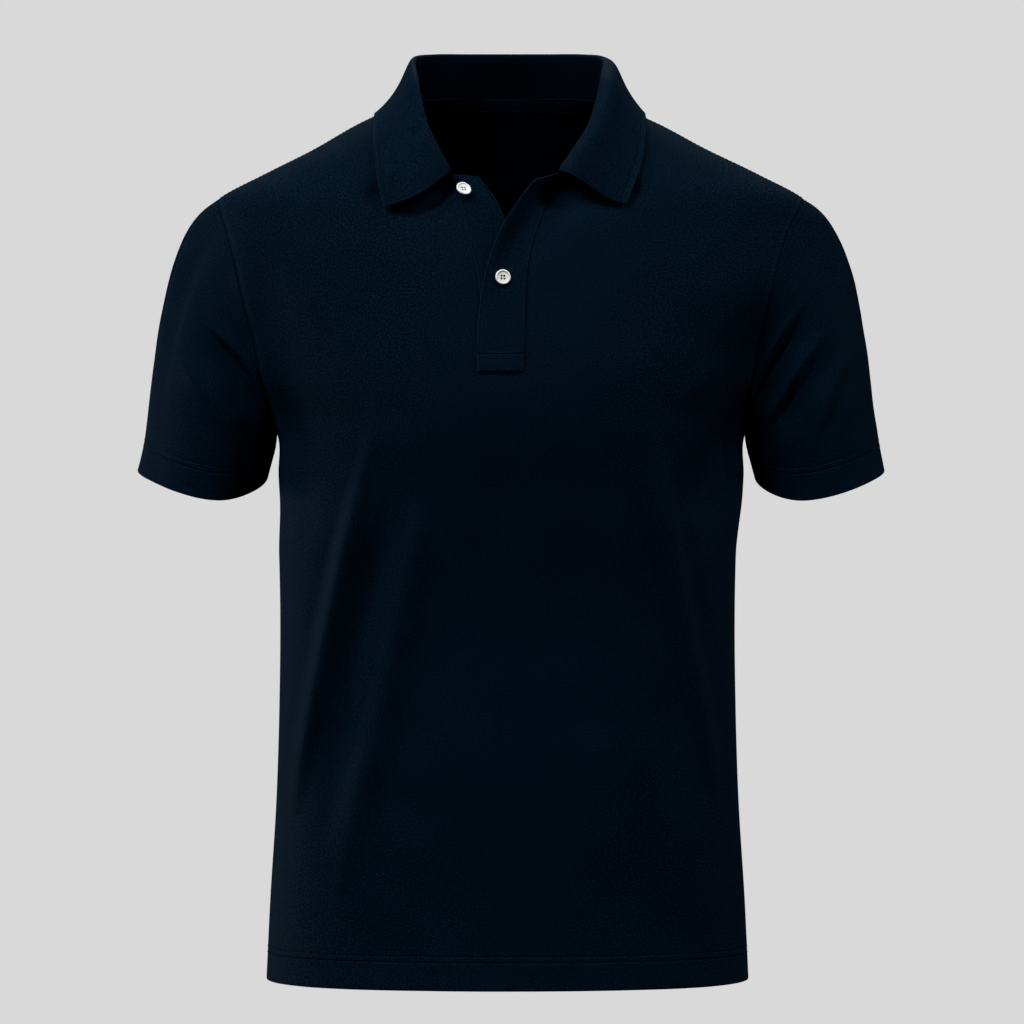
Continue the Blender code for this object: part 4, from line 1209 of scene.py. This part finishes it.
def sleeve_points(sign):
    """The smooth tube from the armhole to the cuff, and each column's turn round the sleeve."""
    mirror = np.array([sign, 1, 1])
    loop, leave = armhole_loop(sign, mirror)
    start = loop + ARMHOLE_SEAM * (mirror * SEAM_STEP)
    step = np.linalg.norm(np.roll(loop, -1, 0) - loop, axis=1)
    turn = 2 * np.pi * np.concatenate([[0], np.cumsum(step)[:-1]]) / step.sum()
    end = mirror * CUFF_CENTRE + np.stack([
        -sign * CUFF_HALF_WIDTH * np.cos(turn),
        -CUFF_HALF_DEPTH * np.sin(turn),
        -CUFF_OUTSIDE_RISE * np.cos(turn) - CUFF_FRONT_DROP * np.sin(turn) - CUFF_SKEW * np.sin(2 * turn),
    ], -1)
    reach = np.linalg.norm(end - start, axis=1, keepdims=True)
    arrive = unit(mirror * CUFF_FACES)
    t = sleeve_shares()[:, None, None]
    points = ((1 - t) ** 3 * start + 3 * t * (1 - t) ** 2 * (start + leave * reach * SLEEVE_LEAVE)
              + 3 * t**2 * (1 - t) * (end - arrive * reach * SLEEVE_ARRIVE) + t**3 * end)
    return (points[:, ::-1], turn[::-1]) if sign > 0 else (points, turn)


def add_sleeve(name, sign, folds):
    """A tube from the armhole's seam to the cuff: sign is 1 on the wearer's left."""
    points, turn = sleeve_points(sign)
    x, z = points[..., 0], points[..., 2]
    in_front = smoothly(0.25 + np.sin(turn))
    calm = smoothly(np.arange(len(points)) / CALM_RINGS)[:, None]
    lift = (fold_lift(x, z, folds) * in_front + ripple(x, z)) * calm
    points = points + grid_normals(points, round_tube=True) * lift[..., None]
    normals = grid_normals(points, round_tube=True)
    down_sleeve = lengths_along(points, 0)
    above_hem = down_sleeve[-1] - down_sleeve
    around = np.cumsum(np.linalg.norm(np.roll(points, -1, 1) - points, axis=-1), 1).mean(0) + 0 * above_hem
    piece = add_wall(name + "_cloth", points, hem_thickness(above_hem)[..., None], (pique, inside_pique_painted_shade),
                     np.stack([around, above_hem, 0 * above_hem], -1), name,
                     round_tube=True, normals=normals, edge_room=above_hem,
                     seams=np.stack([above_hem, -down_sleeve, 0 * above_hem + 1], -1))
    cuff = [level_line(points[::-1], normals[::-1], above_hem[::-1], level) for level in NEEDLE_ROWS]
    add_stitches(name + "_hem_stitches",
                 [(np.concatenate([p, p[:1]]), np.concatenate([n, n[:1]])) for p, n in cuff])
    return piece


sleeve_right_cloth = add_sleeve("sleeve_right", -1, RIGHT_SLEEVE_FOLDS)
sleeve_left_cloth = add_sleeve("sleeve_left", 1, LEFT_SLEEVE_FOLDS)

# %% [markdown]
# ## The collar
# A knit collar is one strip, sewn in at the neck, standing up and then folded down over itself. Each
# section of it is drawn the same way: up the stand, round a small roll at the fold, and down the fall,
# which bulges a little and sags between its ends. A table gives the sections from the front end round
# to the middle of the back, and the other half mirrors it.

# %% The collar's table
COLLAR = [  # station, fold x, fold y, fold z, edge x, edge y, edge z, bulge, sag, lean
    (0.0, 0.0430, -0.0890, -0.0660, 0.0967, -0.0940, -0.0930, 0.0125, 0.0097, -0.0022),
    (1.0, 0.0542, -0.0850, -0.0485, 0.1023, -0.0865, -0.0737, 0.0095, 0.0045, -0.0010),
    (2.0, 0.0655, -0.0757, -0.0280, 0.1057, -0.0765, -0.0575, 0.0050, 0.0010, 0.0004),
    (3.0, 0.0717, -0.0610, -0.0064, 0.1087, -0.0610, -0.0355, 0.0010, 0.0, 0.0012),
    (4.0, 0.0752, -0.0440, 0.0130, 0.1095, -0.0330, -0.0165, -0.0020, 0.0, 0.0015),
    (5.0, 0.0770, -0.0020, 0.0310, 0.1070, 0.0050, -0.0110, -0.0036, 0.0, 0.0012),
    (6.0, 0.0610, 0.0320, 0.0372, 0.0870, 0.0530, -0.0100, -0.0020, 0.0, 0.0008),
    (7.0, 0.0320, 0.0465, 0.0388, 0.0450, 0.0690, -0.0110, 0.0005, 0.0, 0.0003),
    (8.0, 0.0000, 0.0505, 0.0392, 0.0000, 0.0740, -0.0110, 0.0015, 0.0, 0.0),
]
HIGH_SHOULDER_STATION = 5.0
BACK_STATION = 8.0
FOLD_RADIUS = 0.0028
FRONT_FOLD_RADIUS = 0.0023
COLLAR_END_GAP = 0.0013
LEFT_BULGE = 0.15       # the wearer's left leaf is flatter below its roll,
LEFT_SAG = 0.36         # sags less,
LEFT_SAG_POWER = 2.6    # and nearer to its edge than the right leaf,
RIGHT_SAG_POWER = 0.88
LEFT_TIP_RISE = 0.0035  # and its point sits a little higher
LEFT_ROLL = 0.0150      # how far the cloth swells just outside the fold, on each side
RIGHT_ROLL = 0.0034
ROLL_SHARE = 0.22       # where the swell is highest, as a share of the fall
STAND_SHARES = np.linspace(0, 0.93, 10)
FOLD_TURNS = np.linspace(0, 1, 13)
FALL_SHARES = np.concatenate([np.linspace(0, 0.97, 24)[1:], [0.985, 0.994, 1.0]])
STAND_DROP = 0.0005     # how far the stand ends below the fold's middle
FIRST_LEAVE = 0.6       # first guess, in radians, at how far round the fold the fall leaves it,
LAST_LEAVE = 2.2        # and the most it may be
print("collar sections:", len(COLLAR))

# %% Make the collar
def collar_neck():
    """The neckline all round, from the wearer's left front end to the right one, and its stations."""
    left_neck = front[-1, SIDE_COLUMNS:SIDE_COLUMNS + NECK_COLUMNS + 1][::-1]
    right_neck = front[-1, -1 - SIDE_COLUMNS - NECK_COLUMNS:-SIDE_COLUMNS][::-1]
    back_neck = back[-1, SIDE_COLUMNS:-SIDE_COLUMNS][::-1]
    neck = np.concatenate([left_neck, back_neck[1:-1], right_neck])
    neck[[NECK_COLUMNS, -1 - NECK_COLUMNS], 1] = 0
    front_stations = HIGH_SHOULDER_STATION * (1 - neckline_shares(True)[::-1])
    back_stations = np.linspace(HIGH_SHOULDER_STATION, BACK_STATION, NECK_COLUMNS + 1)
    half = np.concatenate([front_stations, back_stations[1:]])
    return neck, np.concatenate([half, half[-2::-1]])


def add_collar():
    """One folded piece: from the neck seam up the stand, over the fold and down the fall."""
    neck, station = collar_neck()
    sign = np.sign(neck[:, 0])
    fold_x, fold_y, fold_z, edge_x, edge_y, edge_z, bulge, sag, lean = (
        column(COLLAR, i)(station) for i in range(1, 10))
    fold = np.stack([sign * fold_x + lean, fold_y, fold_z], -1)
    edge = np.stack([sign * edge_x + lean, edge_y, edge_z], -1)
    up = np.array([0, 0, 1.0])
    along = np.gradient(neck, axis=0)
    outward = unit(np.cross(along, up) * (-1, -1, 0))
    tangent = unit(np.gradient(fold, axis=0))
    over = unit(outward + unit((edge - fold) * (1, 1, 0)))
    over = unit(over - (over * tangent).sum(-1, keepdims=True) * tangent)
    crest = np.cross(tangent, over)
    for end, inward in ((0, along[0]), (-1, -along[-1])):
        for line in (neck, fold):
            line[end] += COLLAR_END_GAP * unit(inward)
    radius = FRONT_FOLD_RADIUS + (FOLD_RADIUS - FRONT_FOLD_RADIUS) * station / 2
    radius = np.minimum(FOLD_RADIUS, radius)[:, None]
    stand_foot = neck + SEAM * unit(fold - neck) - outward * COLLAR_CLOTH
    stand_top = fold - over * radius - crest * STAND_DROP
    profile = [stand_foot * (1 - share) + stand_top * share for share in STAND_SHARES]

    def by_side(left, right):
        return np.where(sign > 0, left, right)[:, None]

    roll = by_side(LEFT_ROLL, RIGHT_ROLL) * np.clip(1 - station / BACK_STATION, 0, 1)[:, None]
    edge[:, 2] += LEFT_TIP_RISE * (sign > 0) * np.clip(1 - station / 2, 0, 1)
    bulge = bulge[:, None] * by_side(LEFT_BULGE, 1.0)
    sag = sag[:, None] * by_side(LEFT_SAG, 1.0)
    sag_power = by_side(LEFT_SAG_POWER, RIGHT_SAG_POWER)
    fall_normal = unit(np.cross(along, edge - fold))
    leave = np.full((len(neck), 1), FIRST_LEAVE)
    for _ in range(4):   # the fold's end and the fall's first direction settle each other
        lip = fold + radius * (np.cos(leave) * over + np.sin(leave) * crest)
        first = edge - lip + fall_normal * (4 * bulge + roll * math.e / ROLL_SHARE)
        leave = np.arctan2((first * over).sum(-1), -(first * crest).sum(-1))[:, None]
        leave = np.clip(leave, 0, LAST_LEAVE)
    for turned in FOLD_TURNS:
        angle = math.pi + (leave - math.pi) * turned
        profile.append(fold + radius * (np.cos(angle) * over + np.sin(angle) * crest))
    for share in FALL_SHARES:
        bow = 4 * share * (1 - share) * bulge
        swell = roll * share / ROLL_SHARE * math.exp(1 - share / ROLL_SHARE)
        drop = np.sin(math.pi * share**sag_power) * sag
        profile.append(lip + (edge - lip) * share + fall_normal * (bow + swell * (1 - share)) - up * drop)
    points = np.array(profile)
    normals = grid_normals(points)
    normals[0] = -outward
    across = lengths_along(points, 0)
    to_edge = across[-1] - across
    along_neck = lengths_along(points, 1).mean(0) + 0 * across
    from_end = np.minimum(lengths_along(points, 1), lengths_along(points[:, ::-1], 1)[:, ::-1])
    stage = np.concatenate([STAND_SHARES, np.linspace(1, 2, len(FOLD_TURNS)), 2 + FALL_SHARES])
    return add_wall("collar_cloth", points, COLLAR_CLOTH, (collar_knit,),
                    np.stack([along_neck, across, to_edge], -1), "collar",
                    normals=normals, edge_room=np.minimum(to_edge, from_end),
                    seams=np.stack([stage[:, None] + 0 * across, from_end, 0 * across], -1))


collar_cloth = add_collar()

# %% [markdown]
# ## The plackets
# Two strips finish the slit. The under one is sewn along the wearer's right edge and lies flat, and the
# upper one, sewn along the left edge, laps over it and carries the buttonholes. Open at the top, their
# free edges curve apart.

# %% Make the plackets
UPPER_FREE_EDGE = [  # height, place of the upper placket's free edge
    (-0.2240, -0.0228),
    (-0.2077, -0.0238),
    (-0.1779, -0.0223),
    (-0.1509, -0.0184),
    (-0.1200, -0.0090),
    (-0.0984, 0.0020),
    (-0.0793, 0.0155),
    (-0.0700, 0.0232),
]
UNDER_FREE_EDGE = [  # height, place of the under placket's free edge
    (-0.2228, 0.0100),
    (-0.1600, 0.0100),
    (-0.1300, 0.0060),
    (-0.1007, -0.0027),
    (-0.0872, -0.0091),
    (-0.0780, -0.0155),
    (-0.0690, -0.0225),
]
EDGE_STEPS = (0.0, 0.004, 0.012, 0.024, 0.045)   # shares of a strip's width near its long edges
PLACKET_COLUMNS = 22
PLACKET_ROWS = 110
PLACKET_RAISED = SEAM + PLACKET_CLOTH + SEAM
LAP = 0.0008            # how far the upper placket covers the slit's other edge
CLOSED_Z = -0.180       # the plackets lie flat below here
OPEN_Z = -0.090         # and are spread open above here
LEAN_Z = -0.112         # the under placket leans forward above here,
UNDER_TOP_Z = -0.068
UNDER_LEAN = 0.0075     # by this much at its top,
LEAN_RAMP = 0.008       # but not at its sewn edge


def hump(distance, height, half):
    return height * np.exp(-((distance / half) ** 2))


def upper_curl(from_free):
    """The free edge turns out and leaves a hollow beside it."""
    return hump(from_free, 0.0132, 0.0115) - hump(from_free - 0.017, 0.0014, 0.008)


def under_curl(from_free):
    """The free edge falls back into the neck."""
    return -0.0095 * smoothly(1 - from_free / 0.030) + hump(from_free, 0.0012, 0.002)


def placket_grid(left_edge, right_edge, low, top_left, top_right):
    """x and z of a placket strip, with a sloping top edge and columns crowded at both long edges."""
    middle = np.linspace(0.07, 0.93, PLACKET_COLUMNS)
    share = np.concatenate([EDGE_STEPS, middle, 1 - np.array(EDGE_STEPS)[::-1]])
    rise = np.concatenate([[0, 0.0015, 0.004, 0.008], np.linspace(0.014, 0.986, PLACKET_ROWS),
                           [0.992, 0.996, 0.9985, 1]])[:, None]
    z = low + (top_left + (top_right - top_left) * share - low) * rise
    x = left_edge(z) + (right_edge(z) - left_edge(z)) * share
    return x, z


def add_placket(node, x, z, raised, free_side, curl_of, lean=0.0):
    """A strip on the front, raised off it. curl_of says how far it stands off at a distance from its
    free edge, which is at the left for free_side -1, and lean how far its top comes forward."""
    points = body_points(x, z, -1, FRONT_FOLDS)
    across = lengths_along(points, 1)
    from_free = across if free_side < 0 else across[:, -1:] - across
    opened = smoothly((z - CLOSED_Z) / (OPEN_Z - CLOSED_Z))
    leaning = smoothly((z - LEAN_Z) / (UNDER_TOP_Z - LEAN_Z)) * smoothly(across / LEAN_RAMP)
    points[..., 1] -= raised - SEAM / 2 + opened * curl_of(from_free) + lean * leaning
    normals = grid_normals(points)
    from_left = lengths_along(points, 1)
    from_right = from_left[:, -1:] - from_left
    along = lengths_along(points, 0)
    from_ends = np.minimum(along, along[-1:] - along)
    piece = add_wall(node + "_cloth", points, PLACKET_CLOTH, (placket_pique,),
                     np.stack([x, z, 0 * x], -1), node, normals=normals,
                     edge_room=np.minimum(np.minimum(from_left, from_right), from_ends),
                     seams=np.stack([from_left, from_right, along], -1))
    return piece, points, normals, (from_left, from_right)


under_grid = placket_grid(lambda z: slit_left(z) + SEAM, column(UNDER_FREE_EDGE, 1),
                          SLIT_Z + SEAM, -0.0668, -0.0685)
placket_under_cloth, under_points, under_normals, under_room = add_placket(
    "placket_under", *under_grid, SEAM / 2, 1, under_curl, UNDER_LEAN)
upper_grid = placket_grid(column(UPPER_FREE_EDGE, 1), lambda z: slit_right(z) + LAP,
                          SLIT_Z - LAP, -0.0727, -0.0656)
placket_upper_cloth, upper_points, upper_normals, upper_room = add_placket(
    "placket_upper", *upper_grid, PLACKET_RAISED, -1, upper_curl)

# %% Stitch the plackets
PLACKET_BOX_ROW = 0.0140     # from the lower end to the top of the stitched box
PLACKET_STITCH = 0.0022
PLACKET_STITCH_RADIUS = 0.00022


def long_rows(points, normals, room):
    """A row along each long edge of a strip."""
    rows = []
    for order, from_edge in zip((1, -1), room):
        line, facing = level_line(sideways(points[:, ::order]), sideways(normals[:, ::order]),
                                  sideways(from_edge[:, ::order]), PLACKET_ROW)
        rows.append((line[3:-3], facing[3:-3]))
    return rows


def box_row(points, normals, height):
    """A row straight across a strip at a height above its lower end."""
    middle = points[:, points.shape[1] // 2, 2]
    row = np.abs(middle - middle[0] - height).argmin()
    return points[row, 7:-7], normals[row, 7:-7]


add_stitches("placket_stitches", [
    *long_rows(upper_points, upper_normals, upper_room),
    box_row(upper_points, upper_normals, PLACKET_FOOT_ROW),
    box_row(upper_points, upper_normals, PLACKET_BOX_ROW),
    *long_rows(under_points, under_normals, under_room),
], PLACKET_STITCH, PLACKET_STITCH_RADIUS)

# %% [markdown]
# ## The neck tape
# A narrow woven tape covers the seam that joins the collar to the back, inside the neck.

# %% Make the neck tape
TAPE_DEPTH = 0.0125     # how far it reaches below the neck seam
TAPE_ROW = 0.0016       # from each of its edges to the row of stitches
TAPE_INSET = 4          # columns left free at each shoulder seam


def add_neck_tape():
    inset = SIDE_COLUMNS + TAPE_INSET
    lowest = np.flatnonzero(back[:, back.shape[1] // 2, 2] > BACK_NECK_Z - TAPE_DEPTH)[0]
    outward = back_normals[lowest:, inset:-inset]
    points = back[lowest:, inset:-inset] - outward * (CLOTH + SEAM)
    across = lengths_along(points, 0)
    along = lengths_along(points, 1)
    piece = add_wall("neck_tape_cloth", points, TAPE_CLOTH, (tape_cloth,),
                     np.stack([along, across, 0 * along], -1), "neck_tape",
                     normals=outward, edge_room=np.minimum(across, across[-1:] - across))
    inner = points - outward * TAPE_CLOTH
    levels = (TAPE_ROW, float(across[-1].min()) - TAPE_ROW)
    add_stitches("tape_stitches", [level_line(inner, -outward, across, level) for level in levels])
    return piece


neck_tape_cloth = add_neck_tape()

# %% [markdown]
# ## The buttons
# The buttons are moulded like shell ones: a disc turned on a lathe, with a rounded rim, a shallow dish
# and four holes. Spinning one outline gives the disc, and four small cylinders cut the holes.

# %% The buttons' gloss
def button_finish():
    shell, shader = new_material("button shell")
    links = shell.node_tree.links
    place = Wire(shell.node_tree).node("ShaderNodeTexCoord", output=3)
    cloud = noise(place, 260.0, 3.0)
    colour = blend(cloud, (0.70, 0.70, 0.67, 1), (0.86, 0.86, 0.84, 1))
    links.new(colour.socket, shader.inputs["Base Color"])
    links.new((0.22 + 0.16 * cloud).socket, shader.inputs["Roughness"])
    return shell


button_shell = button_finish()
print("material:", button_shell.name)

# %% Turn and drill a button
BUTTON_RADIUS = 0.0061
BUTTON_THICKNESS = 0.0026
BUTTON_DISH = 0.0010
BUTTON_ROUNDING = 0.0009        # radius of its rim
BUTTON_FOOT = 0.0002
BUTTON_TURNS = 64
HOLE_RADIUS = 0.00092
HOLE_PLACE = 0.0016             # from the button's middle
DRILL_LENGTH = 0.0104


def button_outline():
    """Radius and height of a button's outline, from the middle underneath round to the middle on top."""
    rim = [(BUTTON_RADIUS - BUTTON_ROUNDING + BUTTON_ROUNDING * math.cos(a),
            BUTTON_THICKNESS - BUTTON_ROUNDING + BUTTON_ROUNDING * math.sin(a))
           for a in np.linspace(-0.9, math.pi * 0.62, 9)]
    dish = [(BUTTON_RADIUS * share, BUTTON_THICKNESS - BUTTON_DISH * (1.0 - 0.25 * share))
            for share in (0.70, 0.62, 0.3)]
    foot = [(0.0, BUTTON_FOOT), (BUTTON_RADIUS * 0.7, BUTTON_FOOT)]
    return foot + rim + dish + [(0.0, BUTTON_THICKNESS - BUTTON_DISH)]


def as_mesh(name, shape):
    mesh = bpy.data.meshes.new(name)
    shape.to_mesh(mesh)
    shape.free()
    return mesh


def turned_disc():
    shape = bmesh.new()
    ring = [shape.verts.new((radius, 0, height)) for radius, height in button_outline()]
    edges = [shape.edges.new(pair) for pair in zip(ring, ring[1:])]
    bmesh.ops.spin(shape, geom=ring + edges, axis=(0, 0, 1), cent=(0, 0, 0), steps=BUTTON_TURNS,
                   angle=2 * math.pi)
    bmesh.ops.remove_doubles(shape, verts=shape.verts, dist=1e-6)
    bmesh.ops.recalc_face_normals(shape, faces=shape.faces)
    return as_mesh("blank", shape)


def four_drills():
    drills = bmesh.new()
    for quarter in range(4):
        angle = math.radians(45 + 90 * quarter)
        made = bmesh.ops.create_cone(drills, cap_ends=True, segments=20, radius1=HOLE_RADIUS,
                                     radius2=HOLE_RADIUS, depth=DRILL_LENGTH)
        place = (HOLE_PLACE * math.cos(angle), HOLE_PLACE * math.sin(angle), 0)
        bmesh.ops.translate(drills, verts=made["verts"], vec=place)
    return as_mesh("drills", drills)


def drilled_disc():
    """The disc with its four holes cut out."""
    blank = add_object("blank", turned_disc())
    cutter = add_object("drills", four_drills())
    cut = blank.modifiers.new("holes", "BOOLEAN")
    cut.operation = "DIFFERENCE"
    cut.object = cutter
    depsgraph = bpy.context.evaluated_depsgraph_get()
    drilled = bpy.data.meshes.new_from_object(blank.evaluated_get(depsgraph))
    for thing in (blank, cutter):
        bpy.data.objects.remove(thing, do_unlink=True)
    return drilled


print("a button is", BUTTON_RADIUS * 2000, "mm across")

# %% Sew on the buttons
TOP_BUTTON = (-0.0338, -0.0812)
SECOND_BUTTON = (-0.0035, -0.1497)
TOP_LEAN = (1.7, -2.2, 1.9)     # the open button hangs on its thread and faces up and aside


def add_button(node, place, points, normals, lean):
    """A button on a placket, at the point nearest to place, turned from the cloth's own direction by lean."""
    nearest = np.hypot(points[..., 0] - place[0], points[..., 2] - place[1])
    spot = np.unravel_index(nearest.argmin(), nearest.shape)
    outward = unit(normals[spot] + lean)
    seat = points[spot] + normals[spot] * BUTTON_RADIUS * np.linalg.norm(np.cross(outward, normals[spot]))
    mesh = drilled_disc()
    mesh.materials.clear()
    mesh.materials.append(button_shell)
    mesh.shade_smooth()
    mesh.set_sharp_from_angle(angle=math.radians(40))
    piece = add_object(node + "_shell", mesh)
    piece.location = seat + outward * SEAM
    piece.rotation_euler = (math.pi / 2 - math.asin(outward[2]), 0, math.atan2(outward[0], -outward[1]))
    dress(piece, node)
    print(node + ":", len(mesh.polygons), "faces")


add_button("button_top", TOP_BUTTON, under_points, under_normals, TOP_LEAN)
add_button("button_second", SECOND_BUTTON, upper_points, upper_normals, (0, 0, 0))
